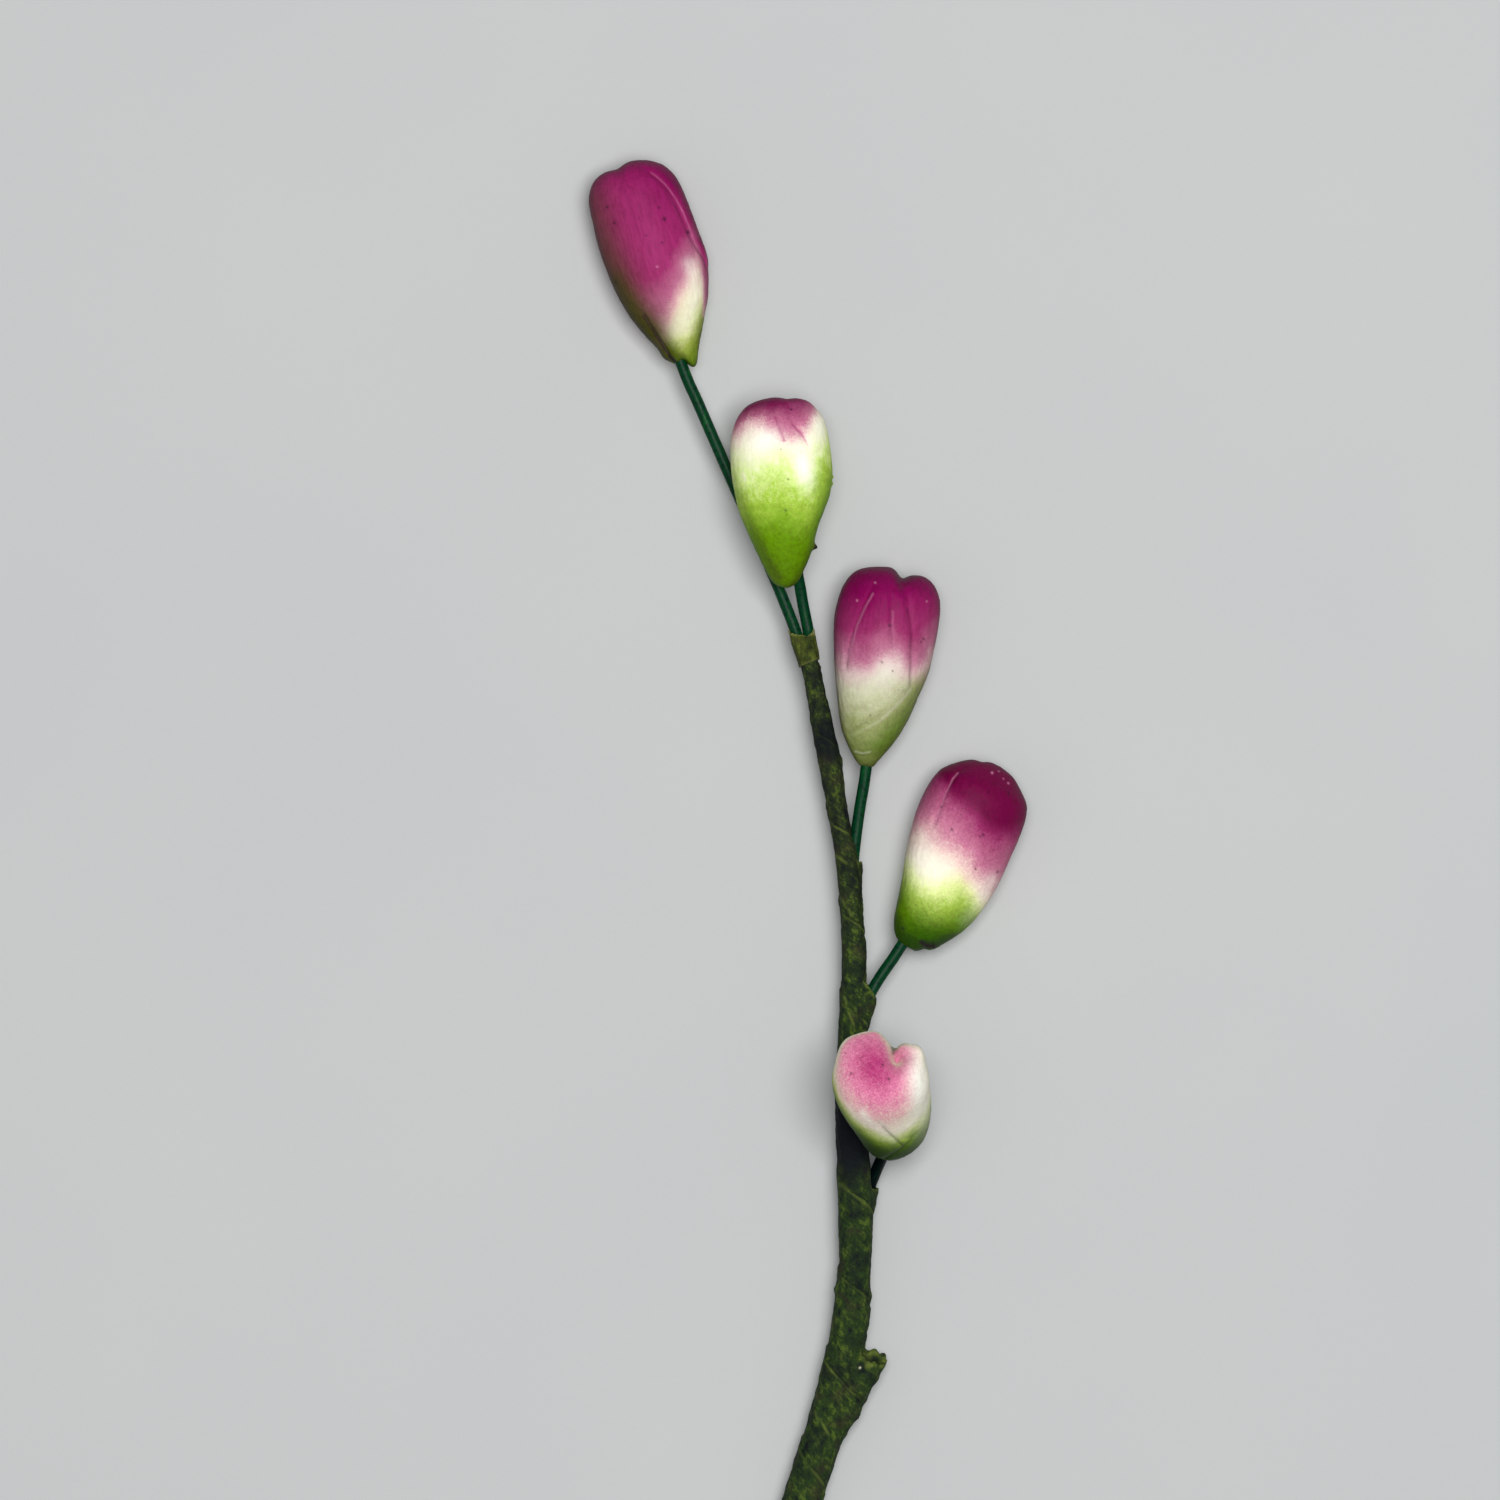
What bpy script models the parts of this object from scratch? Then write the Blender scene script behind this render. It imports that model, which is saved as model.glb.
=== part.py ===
"""An artificial orchid bud sprig: five painted clay buds, each on a coated wire, and the wires bound
into one stem with crepe tape. It lies on a table on its back. +X is to the right across the sprig,
+Y runs up it and +Z points away from the table. Lengths here are in millimetres until to_metres."""

import math
from dataclasses import dataclass

import bmesh
import bpy
from mathutils import Vector

# Driving dimensions

WIRE_RADIUS = 0.6
WIRE_CLEARANCE = 0.12
FREE_STEP = 2.6
BUNDLE_STEP = 4.0
TWIST_STEP = 1.1
LEVEL_MARGIN = 0.3
TAPE_WALL = 0.24
TAPE_PITCH = 9.6
TAPE_LAP = 0.14
TAPE_SIDES = 18
CHANNEL_SIDES = 16
CHANNEL_STEP = 4.5
BUD_SEGMENTS = 28
BUD_RINGS = 20
TABLE = 0.0

# Height of one lap edge of the tape where it crosses the front of the stem
LAP_FRONT = -6.2
# Share of a turn and share of the lap's thickness, from the low edge up to the high one
LAP_ROWS = ((0.0, -0.5), (0.35, -0.15), (0.7, 0.2), (0.96, 0.5))
ROUND_SQUARED = 3.0
CHANNEL_SQUARED = 3.6

# The stem's middle line: height, across, out from the table
SPINE = (
    (-90.0, -9.5, 2.1),
    (-82.8, -7.6, 2.28),
    (-76.5, -6.2, 2.43),
    (-70.2, -4.7, 2.59),
    (-64.0, -2.8, 2.75),
    (-56.8, -0.3, 2.93),
    (-51.3, 1.5, 3.07),
    (-47.1, 2.7, 3.17),
    (-41.0, 4.1, 3.33),
    (-35.5, 4.8, 3.47),
    (-26.0, 4.95, 3.70),
    (-16.0, 4.45, 3.95),
    (-6.0, 4.75, 4.20),
    (2.0, 4.75, 4.41),
    (9.0, 4.1, 4.58),
    (12.0, 3.65, 4.66),
    (15.0, 3.05, 4.74),
    (19.8, 2.3, 4.86),
    (25.3, 1.2, 5.0),
    (29.3, 0.35, 5.1),
    (33.5, -0.6, 5.2),
    (40.0, -2.2, 5.35),
)
STEM_END = -82.8
STEM_TOP = 30.1
WIRE_END = -83.1

# The tape's half-width and half-depth up the stem
STEM_SECTIONS = (
    (-90.0, 2.05, 2.3),
    (-52.0, 2.03, 2.3),
    (-42.0, 1.93, 2.3),
    (-37.0, 1.87, 2.3),
    (-33.5, 1.70, 2.3),
    (-27.0, 1.78, 2.3),
    (-20.0, 1.65, 2.05),
    (-14.6, 1.52, 2.02),
    (-8.3, 1.46, 2.05),
    (-3.0, 1.28, 2.2),
    (6.0, 1.15, 2.2),
    (10.0, 1.12, 2.1),
    (12.5, 1.02, 1.9),
    (16.0, 1.06, 1.7),
    (20.0, 1.16, 1.68),
    (24.0, 1.08, 1.68),
    (28.0, 0.95, 1.68),
    (34.0, 0.9, 1.68),
)

# Where each wire lies in the bundle: height, across and out from the stem's middle line
BUNDLE = {
    "wire_1": (
        (-90.0, -1.10, -0.66),
        (-51.0, -1.10, -0.66),
        (-46.0, -0.90, -0.66),
        (-40.0, -0.68, -0.66),
        (-27.0, -0.68, -0.66),
        (-20.0, -0.53, -1.00),
        (-8.0, -0.53, -1.00),
        (-2.0, -0.18, -1.20),
        (10.0, -0.18, -1.20),
        (16.0, 0.00, -0.68),
        (30.2, 0.00, -0.68),
        (31.4, -0.36, -0.57),
        (32.4, -0.55, -0.36),
        (33.5, -0.64, 0.00),
    ),
    "wire_2": (
        (-90.0, -1.10, 0.66),
        (-51.0, -1.10, 0.66),
        (-46.0, -0.90, 0.66),
        (-40.0, -0.68, 0.66),
        (-27.0, -0.68, 0.66),
        (-20.0, -0.53, 0.34),
        (-8.0, -0.53, 0.34),
        (-2.0, -0.18, 1.20),
        (10.0, -0.18, 1.20),
        (16.0, 0.00, 0.68),
        (30.2, 0.00, 0.68),
        (31.4, 0.36, 0.57),
        (32.4, 0.55, 0.36),
        (33.5, 0.64, 0.00),
    ),
    "wire_3": (
        (-90.0, 1.10, -0.66),
        (-51.0, 1.10, -0.66),
        (-46.0, 0.98, -0.15),
        (-40.0, 0.62, 0.00),
        (-27.0, 0.62, 0.00),
        (-20.0, 0.55, -0.34),
        (-8.0, 0.55, -0.34),
        (-2.0, 0.27, 0.00),
        (7.0, 0.27, 0.00),
    ),
    "wire_4": (
        (-90.0, 0.00, 1.30),
        (-51.0, 0.00, 1.30),
        (-46.0, 0.35, 1.35),
        (-40.0, 0.62, 1.30),
        (-27.0, 0.62, 1.30),
        (-20.0, 0.53, 1.00),
        (-11.0, 0.53, 1.00),
    ),
    "wire_5": (
        (-90.0, 0.00, -1.30),
        (-51.0, 0.00, -1.30),
        (-46.0, 0.35, -1.40),
        (-40.0, 0.62, -1.32),
        (-30.0, 0.62, -1.32),
    ),
    "cut_wire": (
        (-90.0, 1.10, 0.66),
        (-54.0, 1.10, 0.66),
    ),
}

# Each wire's free length, from its end in the clay down to where it joins the bundle
FREE_ROUTES = {
    "wire_1": (
        (-15.0, 67.6, 4.7),
        (-14.1, 64.2, 4.7),
        (-13.07, 61.0, 4.75),
        (-11.7, 57.9, 4.8),
        (-9.4, 52.6, 4.95),
        (-6.2, 45.3, 5.05),
        (-3.0, 37.9, 5.15),
        (-2.15, 35.8, 5.2),
    ),
    "wire_2": (
        (-2.1, 46.2, 8.3),
        (-1.7, 42.8, 7.35),
        (-1.2, 40.2, 6.3),
        (-0.79, 37.9, 5.6),
        (-0.42, 35.8, 5.3),
    ),
    "wire_3": (
        (6.9, 25.6, 5.6),
        (6.45, 22.0, 5.55),
        (6.08, 19.0, 5.4),
        (5.78, 16.9, 5.2),
        (5.42, 14.8, 5.0),
        (5.12, 12.7, 4.85),
        (4.87, 10.6, 4.7),
    ),
    "wire_4": (
        (13.4, 5.9, 4.95),
        (11.7, 3.3, 4.95),
        (10.2, 1.16, 4.98),
        (9.5, 0.1, 5.0),
        (8.14, -2.0, 5.05),
        (6.72, -4.1, 5.1),
        (5.78, -6.5, 5.14),
    ),
    "wire_5": (
        (8.3, -17.0, 10.9),
        (8.4, -18.8, 8.1),
        (8.25, -20.5, 5.6),
        (7.6, -22.0, 4.1),
        (6.95, -23.8, 3.1),
        (6.1, -26.2, 2.5),
    ),
    "cut_wire": (
        (6.15, -44.3, 3.75),
        (5.25, -46.3, 3.83),
        (4.15, -48.5, 3.92),
        (2.75, -51.0, 3.86),
    ),
}

# Mouths where the tape opens round a wire: start, end, start radius, end radius, the way the
# end faces, and the stretch of the wire's height over which the wall is opened for it
MOUTHS = {
    "wire_3": ((4.62, 4.5, 4.5), (4.78, 9.4, 4.66), 0.8, 0.86, (0.0, 1.0, 0.0), (3.5, 16.0)),
    "wire_4": ((5.3, -8.4, 5.1), (6.6, -4.0, 5.1), 0.85, 1.0, (0.8, 0.6, 0.0), (-12.0, -1.5)),
    "wire_5": ((5.6, -28.2, 2.6), (6.55, -24.9, 2.85), 0.72, 0.9, (0.2, 1.0, 0.0), (-31.0, -22.5)),
    "cut_wire": ((2.5, -51.5, 3.75), (6.88, -42.3, 3.75), 0.9, 1.35, (0.3, 1.0, 0.0), (-54.0, -44.0)),
}
STUB_HOLLOW = ((5.6, -45.7, 3.75), (7.15, -41.9, 3.75), 0.74, 1.12)

# The collar at the top fork: share of its length, across, half-width, half-depth
COLLAR_SECTIONS = (
    (0.0, 0.12, 1.08, 1.72),
    (0.35, -0.1, 1.28, 1.56),
    (0.65, -0.35, 1.42, 1.36),
    (1.0, -0.58, 1.5, 1.0),
)
COLLAR_FOOT = 30.25
COLLAR_MOUTH = 33.3
COLLAR_FOOT_SLANT = 0.42
COLLAR_WALL = 0.15
COLLAR_SIDES = 20
# Rises of the collar's torn mouth: angle round it, height, and spread in degrees
COLLAR_FLAPS = ((20.0, 1.0, 28.0), (180.0, 0.35, 30.0))


@dataclass(frozen=True)
class Cleft:
    """A groove pressed over one end of a bud, square to its width."""

    across: float
    half_width: float
    depth: float
    reach: float
    at_tip: bool = True
    back_only: bool = False


@dataclass(frozen=True)
class Seam:
    """The edge of a folded petal: rows of share of the length and angle round the bud."""

    rows: tuple
    groove: float
    step: float


@dataclass(frozen=True)
class Bud:
    """One clay bud: its axis, its half-widths left and right of the axis, and its relief."""

    name: str
    base: tuple
    tip: tuple
    sections: tuple
    front: float
    back: float
    clefts: tuple
    seams: tuple
    colour: tuple


BUDS = (
    Bud(
        name="bud_1",
        base=(-12.8, 61.6, 4.65),
        tip=(-18.9, 82.85, 4.75),
        sections=(
            (0.02, 1.2, 1.2),
            (0.1, 2.3, 2.2),
            (0.2, 3.5, 3.3),
            (0.3, 4.4, 4.35),
            (0.45, 5.1, 5.1),
            (0.6, 5.4, 5.05),
            (0.75, 5.35, 4.8),
            (0.86, 5.15, 4.4),
            (0.93, 4.5, 3.6),
            (0.97, 3.5, 2.5),
        ),
        front=0.92,
        back=0.93,
        clefts=(
            Cleft(-1.35, 0.8, 0.3, 0.2),
            Cleft(-0.2, 0.5, 0.55, 0.08, at_tip=False),
        ),
        seams=(
            Seam(((0.45, 14.0), (0.54, 30.0), (0.7, 38.0), (0.8, 42.0), (0.93, 60.0)), 0.2, -0.22),
            Seam(((0.35, 255.0), (0.6, 250.0), (0.95, 268.0)), 0.22, 0.2),
            Seam(((0.5, 305.0), (0.75, 300.0), (0.94, 290.0)), 0.15, 0.15),
        ),
        colour=(0.38, 0.03, 0.16, 1.0),
    ),
    Bud(
        name="bud_2",
        base=(-2.4, 38.1, 8.45),
        tip=(-2.85, 58.1, 8.75),
        sections=(
            (0.03, 1.3, 1.3),
            (0.1, 2.1, 2.1),
            (0.2, 3.0, 2.95),
            (0.3, 3.9, 3.5),
            (0.4, 4.65, 4.25),
            (0.5, 5.05, 4.95),
            (0.62, 5.38, 5.2),
            (0.78, 5.3, 4.9),
            (0.88, 4.75, 4.4),
            (0.94, 3.9, 3.5),
            (0.975, 2.8, 2.7),
        ),
        front=0.93,
        back=0.9,
        clefts=(Cleft(0.6, 0.7, 0.25, 0.2, back_only=True),),
        seams=(
            Seam(((0.78, 89.0), (0.85, 96.0), (0.94, 107.0)), 0.12, 0.1),
            Seam(((0.74, 56.0), (0.81, 65.0), (0.9, 76.0)), 0.12, -0.1),
            Seam(((0.35, 240.0), (0.6, 248.0), (0.94, 262.0)), 0.2, 0.2),
            Seam(((0.4, 312.0), (0.7, 300.0), (0.94, 290.0)), 0.16, 0.15),
        ),
        colour=(0.5, 0.62, 0.2, 1.0),
    ),
    Bud(
        name="bud_3",
        base=(6.1, 19.2, 5.4),
        tip=(8.8, 40.3, 5.6),
        sections=(
            (0.015, 0.85, 0.75),
            (0.05, 1.52, 1.25),
            (0.1, 2.21, 2.0),
            (0.2, 3.2, 3.2),
            (0.3, 3.85, 4.0),
            (0.4, 4.3, 4.6),
            (0.5, 4.7, 5.2),
            (0.62, 5.1, 5.5),
            (0.75, 5.28, 5.68),
            (0.86, 4.95, 5.5),
            (0.93, 4.25, 4.75),
            (0.97, 3.3, 3.7),
        ),
        front=0.92,
        back=0.9,
        clefts=(Cleft(1.25, 0.55, 0.95, 0.22),),
        seams=(
            Seam(((0.5, 137.0), (0.62, 130.0), (0.71, 123.0), (0.8, 116.0), (0.88, 111.0)), 0.16, -0.16),
            Seam(((0.6, 78.0), (0.7, 83.0), (0.85, 86.0)), 0.14, 0.12),
            Seam(((0.45, 44.0), (0.55, 52.0), (0.67, 58.0), (0.81, 67.0), (0.95, 75.0)), 0.2, 0.16),
            Seam(((0.16, 143.0), (0.22, 99.0), (0.28, 70.0), (0.34, 55.0), (0.42, 42.0)), 0.12, 0.18),
            Seam(((0.3, 250.0), (0.6, 244.0), (0.94, 262.0)), 0.2, 0.2),
        ),
        colour=(0.5, 0.12, 0.26, 1.0),
    ),
    Bud(
        name="bud_4",
        base=(11.0, 0.1, 4.85),
        tip=(19.1, 19.9, 4.85),
        sections=(
            (0.01, 1.6, 1.0),
            (0.05, 2.5, 2.15),
            (0.1, 3.0, 3.0),
            (0.2, 3.45, 4.4),
            (0.3, 3.9, 5.1),
            (0.45, 4.6, 5.65),
            (0.6, 5.1, 5.82),
            (0.75, 5.1, 5.88),
            (0.86, 4.6, 5.45),
            (0.93, 3.3, 4.0),
            (0.97, 2.1, 2.85),
        ),
        front=0.92,
        back=0.93,
        clefts=(
            Cleft(1.1, 0.5, 0.35, 0.07, at_tip=False),
            Cleft(-0.8, 0.7, 0.3, 0.2, back_only=True),
        ),
        seams=(
            Seam(((0.62, 125.0), (0.76, 127.0), (0.9, 129.0)), 0.14, -0.14),
            Seam(((0.4, 238.0), (0.7, 246.0), (0.94, 264.0)), 0.2, 0.2),
            Seam(((0.35, 318.0), (0.65, 306.0), (0.94, 292.0)), 0.18, 0.16),
        ),
        colour=(0.5, 0.12, 0.26, 1.0),
    ),
    Bud(
        name="bud_5",
        base=(8.8, -20.9, 5.2),
        tip=(7.1, -10.8, 20.6),
        sections=(
            (0.03, 1.2, 1.7),
            (0.1, 2.1, 2.9),
            (0.2, 2.85, 4.0),
            (0.35, 3.6, 4.6),
            (0.5, 4.35, 4.85),
            (0.65, 4.9, 5.0),
            (0.78, 5.0, 5.15),
            (0.88, 4.55, 4.8),
            (0.94, 3.75, 4.1),
            (0.975, 2.6, 2.85),
        ),
        front=0.98,
        back=0.98,
        clefts=(
            Cleft(1.75, 0.65, 2.0, 0.5, back_only=True),
            Cleft(3.4, 1.7, 1.25, 0.5, back_only=True),
        ),
        seams=(
            Seam(((0.2, 110.0), (0.32, 80.0), (0.42, 60.0)), 0.25, 0.2),
            Seam(((0.3, 320.0), (0.6, 315.0), (0.94, 290.0)), 0.18, 0.16),
        ),
        colour=(0.55, 0.2, 0.3, 1.0),
    ),
)
SEAM_WIDTH = 0.45
SEAM_REACH = 2.2
SEAM_FADE = 0.05
CLEFT_HEART = 0.7

WIRE_COLOUR = (0.004, 0.075, 0.022, 1.0)
CUT_WIRE_COLOUR = (0.01, 0.06, 0.02, 1.0)
TAPE_COLOUR = (0.035, 0.055, 0.012, 1.0)
COLLAR_COLOUR = (0.12, 0.13, 0.02, 1.0)
BUD_ROUGHNESS = 0.5
WIRE_ROUGHNESS = 0.3
TAPE_ROUGHNESS = 0.85


# Curves through rows of numbers, each row starting with its key, in rising order


def rows_round(rows, key):
    """The index of the row below key and the share of the way to the next."""
    last = len(rows) - 2
    index = 0
    while index < last and rows[index + 1][0] < key:
        index += 1
    low, high = rows[index][0], rows[index + 1][0]
    share = (key - low) / (high - low)
    return index, min(max(share, 0.0), 1.0)


def slope_at(rows, index, column):
    """The slope of the smooth curve at a row, from the rows on both sides of it."""
    before = max(index - 1, 0)
    after = min(index + 1, len(rows) - 1)
    return (rows[after][column] - rows[before][column]) / (rows[after][0] - rows[before][0])


def smooth_at(rows, key):
    """The values at key on a smooth curve through the rows."""
    index, share = rows_round(rows, key)
    span = rows[index + 1][0] - rows[index][0]
    square, cube = share**2, share**3
    values = []
    for column in range(1, len(rows[0])):
        start, end = rows[index][column], rows[index + 1][column]
        leave = slope_at(rows, index, column) * span
        arrive = slope_at(rows, index + 1, column) * span
        value = (2 * cube - 3 * square + 1) * start + (3 * square - 2 * cube) * end
        value += (cube - 2 * square + share) * leave + (cube - square) * arrive
        values.append(value)
    return values


def eased(share):
    """A share from 0 to 1 that starts and ends gently."""
    share = min(max(share, 0.0), 1.0)
    return share * share * (3 - 2 * share)


def eased_at(rows, key):
    """The values at key, moving gently from each row to the next."""
    index, share = rows_round(rows, key)
    weight = eased(share)
    start, end = rows[index], rows[index + 1]
    return [start[c] + (end[c] - start[c]) * weight for c in range(1, len(start))]


# Meshes and objects


def to_metres(point):
    """A point in millimetres as a vector in metres."""
    return Vector(point) * 0.001


def material(name, colour, roughness):
    """A Principled material of one colour."""
    made = bpy.data.materials.new(name)
    made.use_nodes = True
    shader = made.node_tree.nodes["Principled BSDF"]
    shader.inputs["Base Color"].default_value = colour
    shader.inputs["Roughness"].default_value = roughness
    return made


def object_from(name, mesh, collection, finish=None):
    """A smooth-shaded object made from a bmesh, which is freed."""
    bmesh.ops.recalc_face_normals(mesh, faces=mesh.faces)
    data = bpy.data.meshes.new(name)
    mesh.to_mesh(data)
    mesh.free()
    data.shade_smooth()
    data.set_sharp_from_angle(angle=math.radians(50))
    if finish:
        data.materials.append(finish)
    made = bpy.data.objects.new(name, data)
    collection.objects.link(made)
    return made


def as_cutter(made):
    """Marks an object that only shapes others."""
    made.hide_render = True
    made.display_type = "WIRE"
    return made


def loft(rings, ring_closed=False):
    """A skin over rings of points in millimetres: capped at both ends, or joined end to end."""
    mesh = bmesh.new()
    loops = [[mesh.verts.new(to_metres(point)) for point in ring] for ring in rings]
    pairs = list(zip(loops, loops[1:]))
    if ring_closed:
        pairs.append((loops[-1], loops[0]))
    for low, high in pairs:
        for side in range(len(low)):
            after = (side + 1) % len(low)
            mesh.faces.new((low[side], low[after], high[after], high[side]))
    if not ring_closed:
        mesh.faces.new(loops[0])
        mesh.faces.new(loops[-1])
    return mesh


def cone_between(name, start, end, start_radius, end_radius, collection, end_facing=None):
    """A cone frustum between two points, with its end cut to face another way if one is given."""
    first, last = to_metres(start), to_metres(end)
    line = last - first
    mesh = bmesh.new()
    bmesh.ops.create_cone(
        mesh,
        cap_ends=True,
        segments=14,
        radius1=start_radius * 0.001,
        radius2=end_radius * 0.001,
        depth=line.length,
    )
    turn = Vector((0, 0, 1)).rotation_difference(line).to_matrix()
    bmesh.ops.rotate(mesh, verts=mesh.verts, cent=(0, 0, 0), matrix=turn)
    bmesh.ops.translate(mesh, verts=mesh.verts, vec=(first + last) / 2)
    if end_facing:
        facing, along = Vector(end_facing), line.normalized()
        for vertex in mesh.verts:
            if (vertex.co - last).length < (vertex.co - first).length:
                vertex.co -= along * ((vertex.co - last).dot(facing) / along.dot(facing))
    return object_from(name, mesh, collection)


def tube_along(name, points, radius, collection, finish=None):
    """A round bar along points in millimetres, made as a bevelled curve and then a mesh."""
    curve = bpy.data.curves.new(name, "CURVE")
    curve.dimensions = "3D"
    curve.bevel_depth = radius * 0.001
    curve.bevel_resolution = 2
    curve.use_fill_caps = True
    spline = curve.splines.new("POLY")
    spline.points.add(len(points) - 1)
    for target, point in zip(spline.points, points):
        target.co = (*to_metres(point), 1.0)
    guide = bpy.data.objects.new(name + "_guide", curve)
    collection.objects.link(guide)
    evaluated = guide.evaluated_get(bpy.context.evaluated_depsgraph_get())
    data = bpy.data.meshes.new_from_object(evaluated)
    bpy.data.objects.remove(guide)
    mesh = bmesh.new()
    mesh.from_mesh(data)
    bpy.data.meshes.remove(data)
    bmesh.ops.remove_doubles(mesh, verts=mesh.verts, dist=1e-6)
    return object_from(name, mesh, collection, finish)


def boolean(target, other, operation):
    """Adds a Boolean modifier that combines other with target."""
    modifier = target.modifiers.new(operation.lower() + "_" + other.name, "BOOLEAN")
    modifier.operation = operation
    modifier.solver = "EXACT"
    modifier.object = other


# Wires


def spine_point(height):
    """The stem's middle line at a height."""
    across, out = smooth_at(SPINE, height)
    return Vector((across, height, out))


def spine_frame(height):
    """The middle line's point, with the directions up, across and out at a height."""
    up = (spine_point(height + 0.5) - spine_point(height - 0.5)).normalized()
    across = up.cross(Vector((0, 0, 1))).normalized()
    return spine_point(height), up, across, across.cross(up)


def bundle_point(rows, height):
    """A wire's middle in the bundle at a height."""
    centre, _, across, out = spine_frame(height)
    sideways, outward = eased_at(rows, height)
    return centre + across * sideways + out * outward


def bundle_heights(top):
    """Heights down the bundle, the same for all wires, and closer together up in the collar, where
    two wires turn round each other."""
    heights = [top]
    while heights[-1] > STEM_TOP:
        heights.append(heights[-1] - TWIST_STEP)
    level = math.floor((heights[-1] - WIRE_END) / BUNDLE_STEP - LEVEL_MARGIN)
    heights += [WIRE_END + BUNDLE_STEP * step for step in range(level, -1, -1)]
    return heights


def wire_points(name):
    """The wire's whole route, from its end in the clay to the cut end."""
    rows = BUNDLE[name]
    bundled = [bundle_point(rows, height) for height in bundle_heights(rows[-1][0])]
    keys = [Vector(point) for point in FREE_ROUTES[name]] + bundled[:2]
    lengths = [0.0]
    for before, after in zip(keys, keys[1:]):
        lengths.append(lengths[-1] + (after - before).length)
    table = [(length, *point) for length, point in zip(lengths, keys)]
    free_length = lengths[-2]
    steps = round(free_length / FREE_STEP)
    free = [Vector(smooth_at(table, free_length * step / steps)) for step in range(steps)]
    return free + bundled


def stretch(points, low, high):
    """The points of a route between two heights, with one more at each end where there is one."""
    inside = [i for i, point in enumerate(points) if low <= point.y <= high]
    first = max(inside[0] - 1, 0)
    last = min(inside[-1] + 1, len(points) - 1)
    return points[first : last + 1]


# Buds


def bud_axes(bud):
    """The bud's base, its length and its directions across, along and out."""
    base, tip = Vector(bud.base), Vector(bud.tip)
    along = (tip - base).normalized()
    across = along.cross(Vector((0, 0, 1))).normalized()
    return base, (tip - base).length, across, along, across.cross(along)


def half_widths(bud, share):
    """The half-widths left and right at a share of the length, round at both ends."""
    squares = [(0.0, 0.0, 0.0)]
    squares += [(t, left**2, right**2) for t, left, right in bud.sections]
    squares.append((1.0, 0.0, 0.0))
    return [math.sqrt(max(square, 0.0)) for square in smooth_at(squares, share)]


def seam_relief(seam, share, angle, radius, length):
    """How far a petal's edge lifts or sinks the surface at a place on the bud."""
    first, last = seam.rows[0][0], seam.rows[-1][0]
    fade = eased((share - first) / SEAM_FADE + 1) * eased((last - share) / SEAM_FADE + 1)
    if fade == 0.0:
        return 0.0
    middle = smooth_at(seam.rows, share)[0]
    beyond = smooth_at(seam.rows, share + 0.01)[0]
    turn = (angle - middle + 180) % 360 - 180
    lean = radius * math.radians(beyond - middle) / (0.01 * length)
    distance = radius * math.radians(turn) / math.hypot(1, lean)
    groove = -seam.groove * math.exp(-((distance / SEAM_WIDTH) ** 2))
    rise = 0.5 + 0.5 * math.tanh(distance / (SEAM_WIDTH / 2))
    if seam.step < 0:
        rise = 1 - rise
    lift = abs(seam.step) * rise * math.exp(-abs(distance) / SEAM_REACH)
    return fade * (groove + lift)


def bud_local(bud, length, direction):
    """A place on the bud in its own frame, for a direction from the centre of a ball."""
    share = (1 + direction.y) / 2
    angle = math.atan2(direction.z, direction.x)
    left, right = half_widths(bud, share)
    mean = (left + right) / 2
    depth = mean * (bud.front if direction.z > 0 else bud.back)
    relief = sum(
        seam_relief(seam, share, math.degrees(angle) % 360, mean, length) for seam in bud.seams
    )
    width = right if direction.x > 0 else left
    point = Vector(
        (
            (width + relief) * math.cos(angle) if mean else 0.0,
            share * length,
            (depth + relief) * math.sin(angle) if mean else 0.0,
        )
    )
    for cleft in bud.clefts:
        into_end = share if cleft.at_tip else 1 - share
        weight = eased((into_end - 1 + cleft.reach) / cleft.reach)
        weight *= math.exp(-(((point.x - cleft.across) / cleft.half_width) ** 2))
        if cleft.back_only:
            weight *= eased(0.75 - point.z / 4)
        heart = CLEFT_HEART if cleft.at_tip else 1 - CLEFT_HEART
        inward = Vector((cleft.across, heart * length, 0)) - point
        point += inward.normalized() * cleft.depth * weight
    return point


def make_bud(bud, collection):
    """One clay bud, shaped from a ball, with a small flat where it would sink into the table."""
    base, length, across, along, out = bud_axes(bud)
    mesh = bmesh.new()
    bmesh.ops.create_uvsphere(mesh, u_segments=BUD_SEGMENTS, v_segments=BUD_RINGS, radius=1.0)
    for vertex in mesh.verts:
        direction = Vector((vertex.co.x, vertex.co.z, -vertex.co.y))
        local = bud_local(bud, length, direction)
        place = base + across * local.x + along * local.y + out * local.z
        place.z = max(place.z, TABLE)
        vertex.co = to_metres(place)
    return object_from(bud.name, mesh, collection, material(bud.name + "_clay", bud.colour, BUD_ROUGHNESS))


# Tape


def section_point(frame, half_width, half_depth, angle, squared):
    """A point of a rounded section about the stem, at an angle in degrees from across."""
    centre, _, across, out = frame
    turn = math.radians(angle)
    side, face = math.cos(turn), math.sin(turn)
    power = 2 / squared
    sideways = math.copysign(abs(side) ** power, side) * half_width
    outward = math.copysign(abs(face) ** power, face) * half_depth
    return centre + across * sideways + out * outward


def wound_row(turn, share, rise):
    """One row of points of the wound strip, which climbs by one pitch round the stem."""
    row = []
    for side in range(TAPE_SIDES):
        angle = 360 * side / TAPE_SIDES
        height = LAP_FRONT + TAPE_PITCH * (turn + share + (angle - 90) / 360)
        half_width, half_depth = smooth_at(STEM_SECTIONS, height)
        lift = rise * TAPE_LAP
        point = section_point(
            spine_frame(height), half_width + lift, half_depth + lift, angle, ROUND_SQUARED
        )
        point.z = max(point.z, TABLE)
        row.append(point)
    return row


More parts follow.
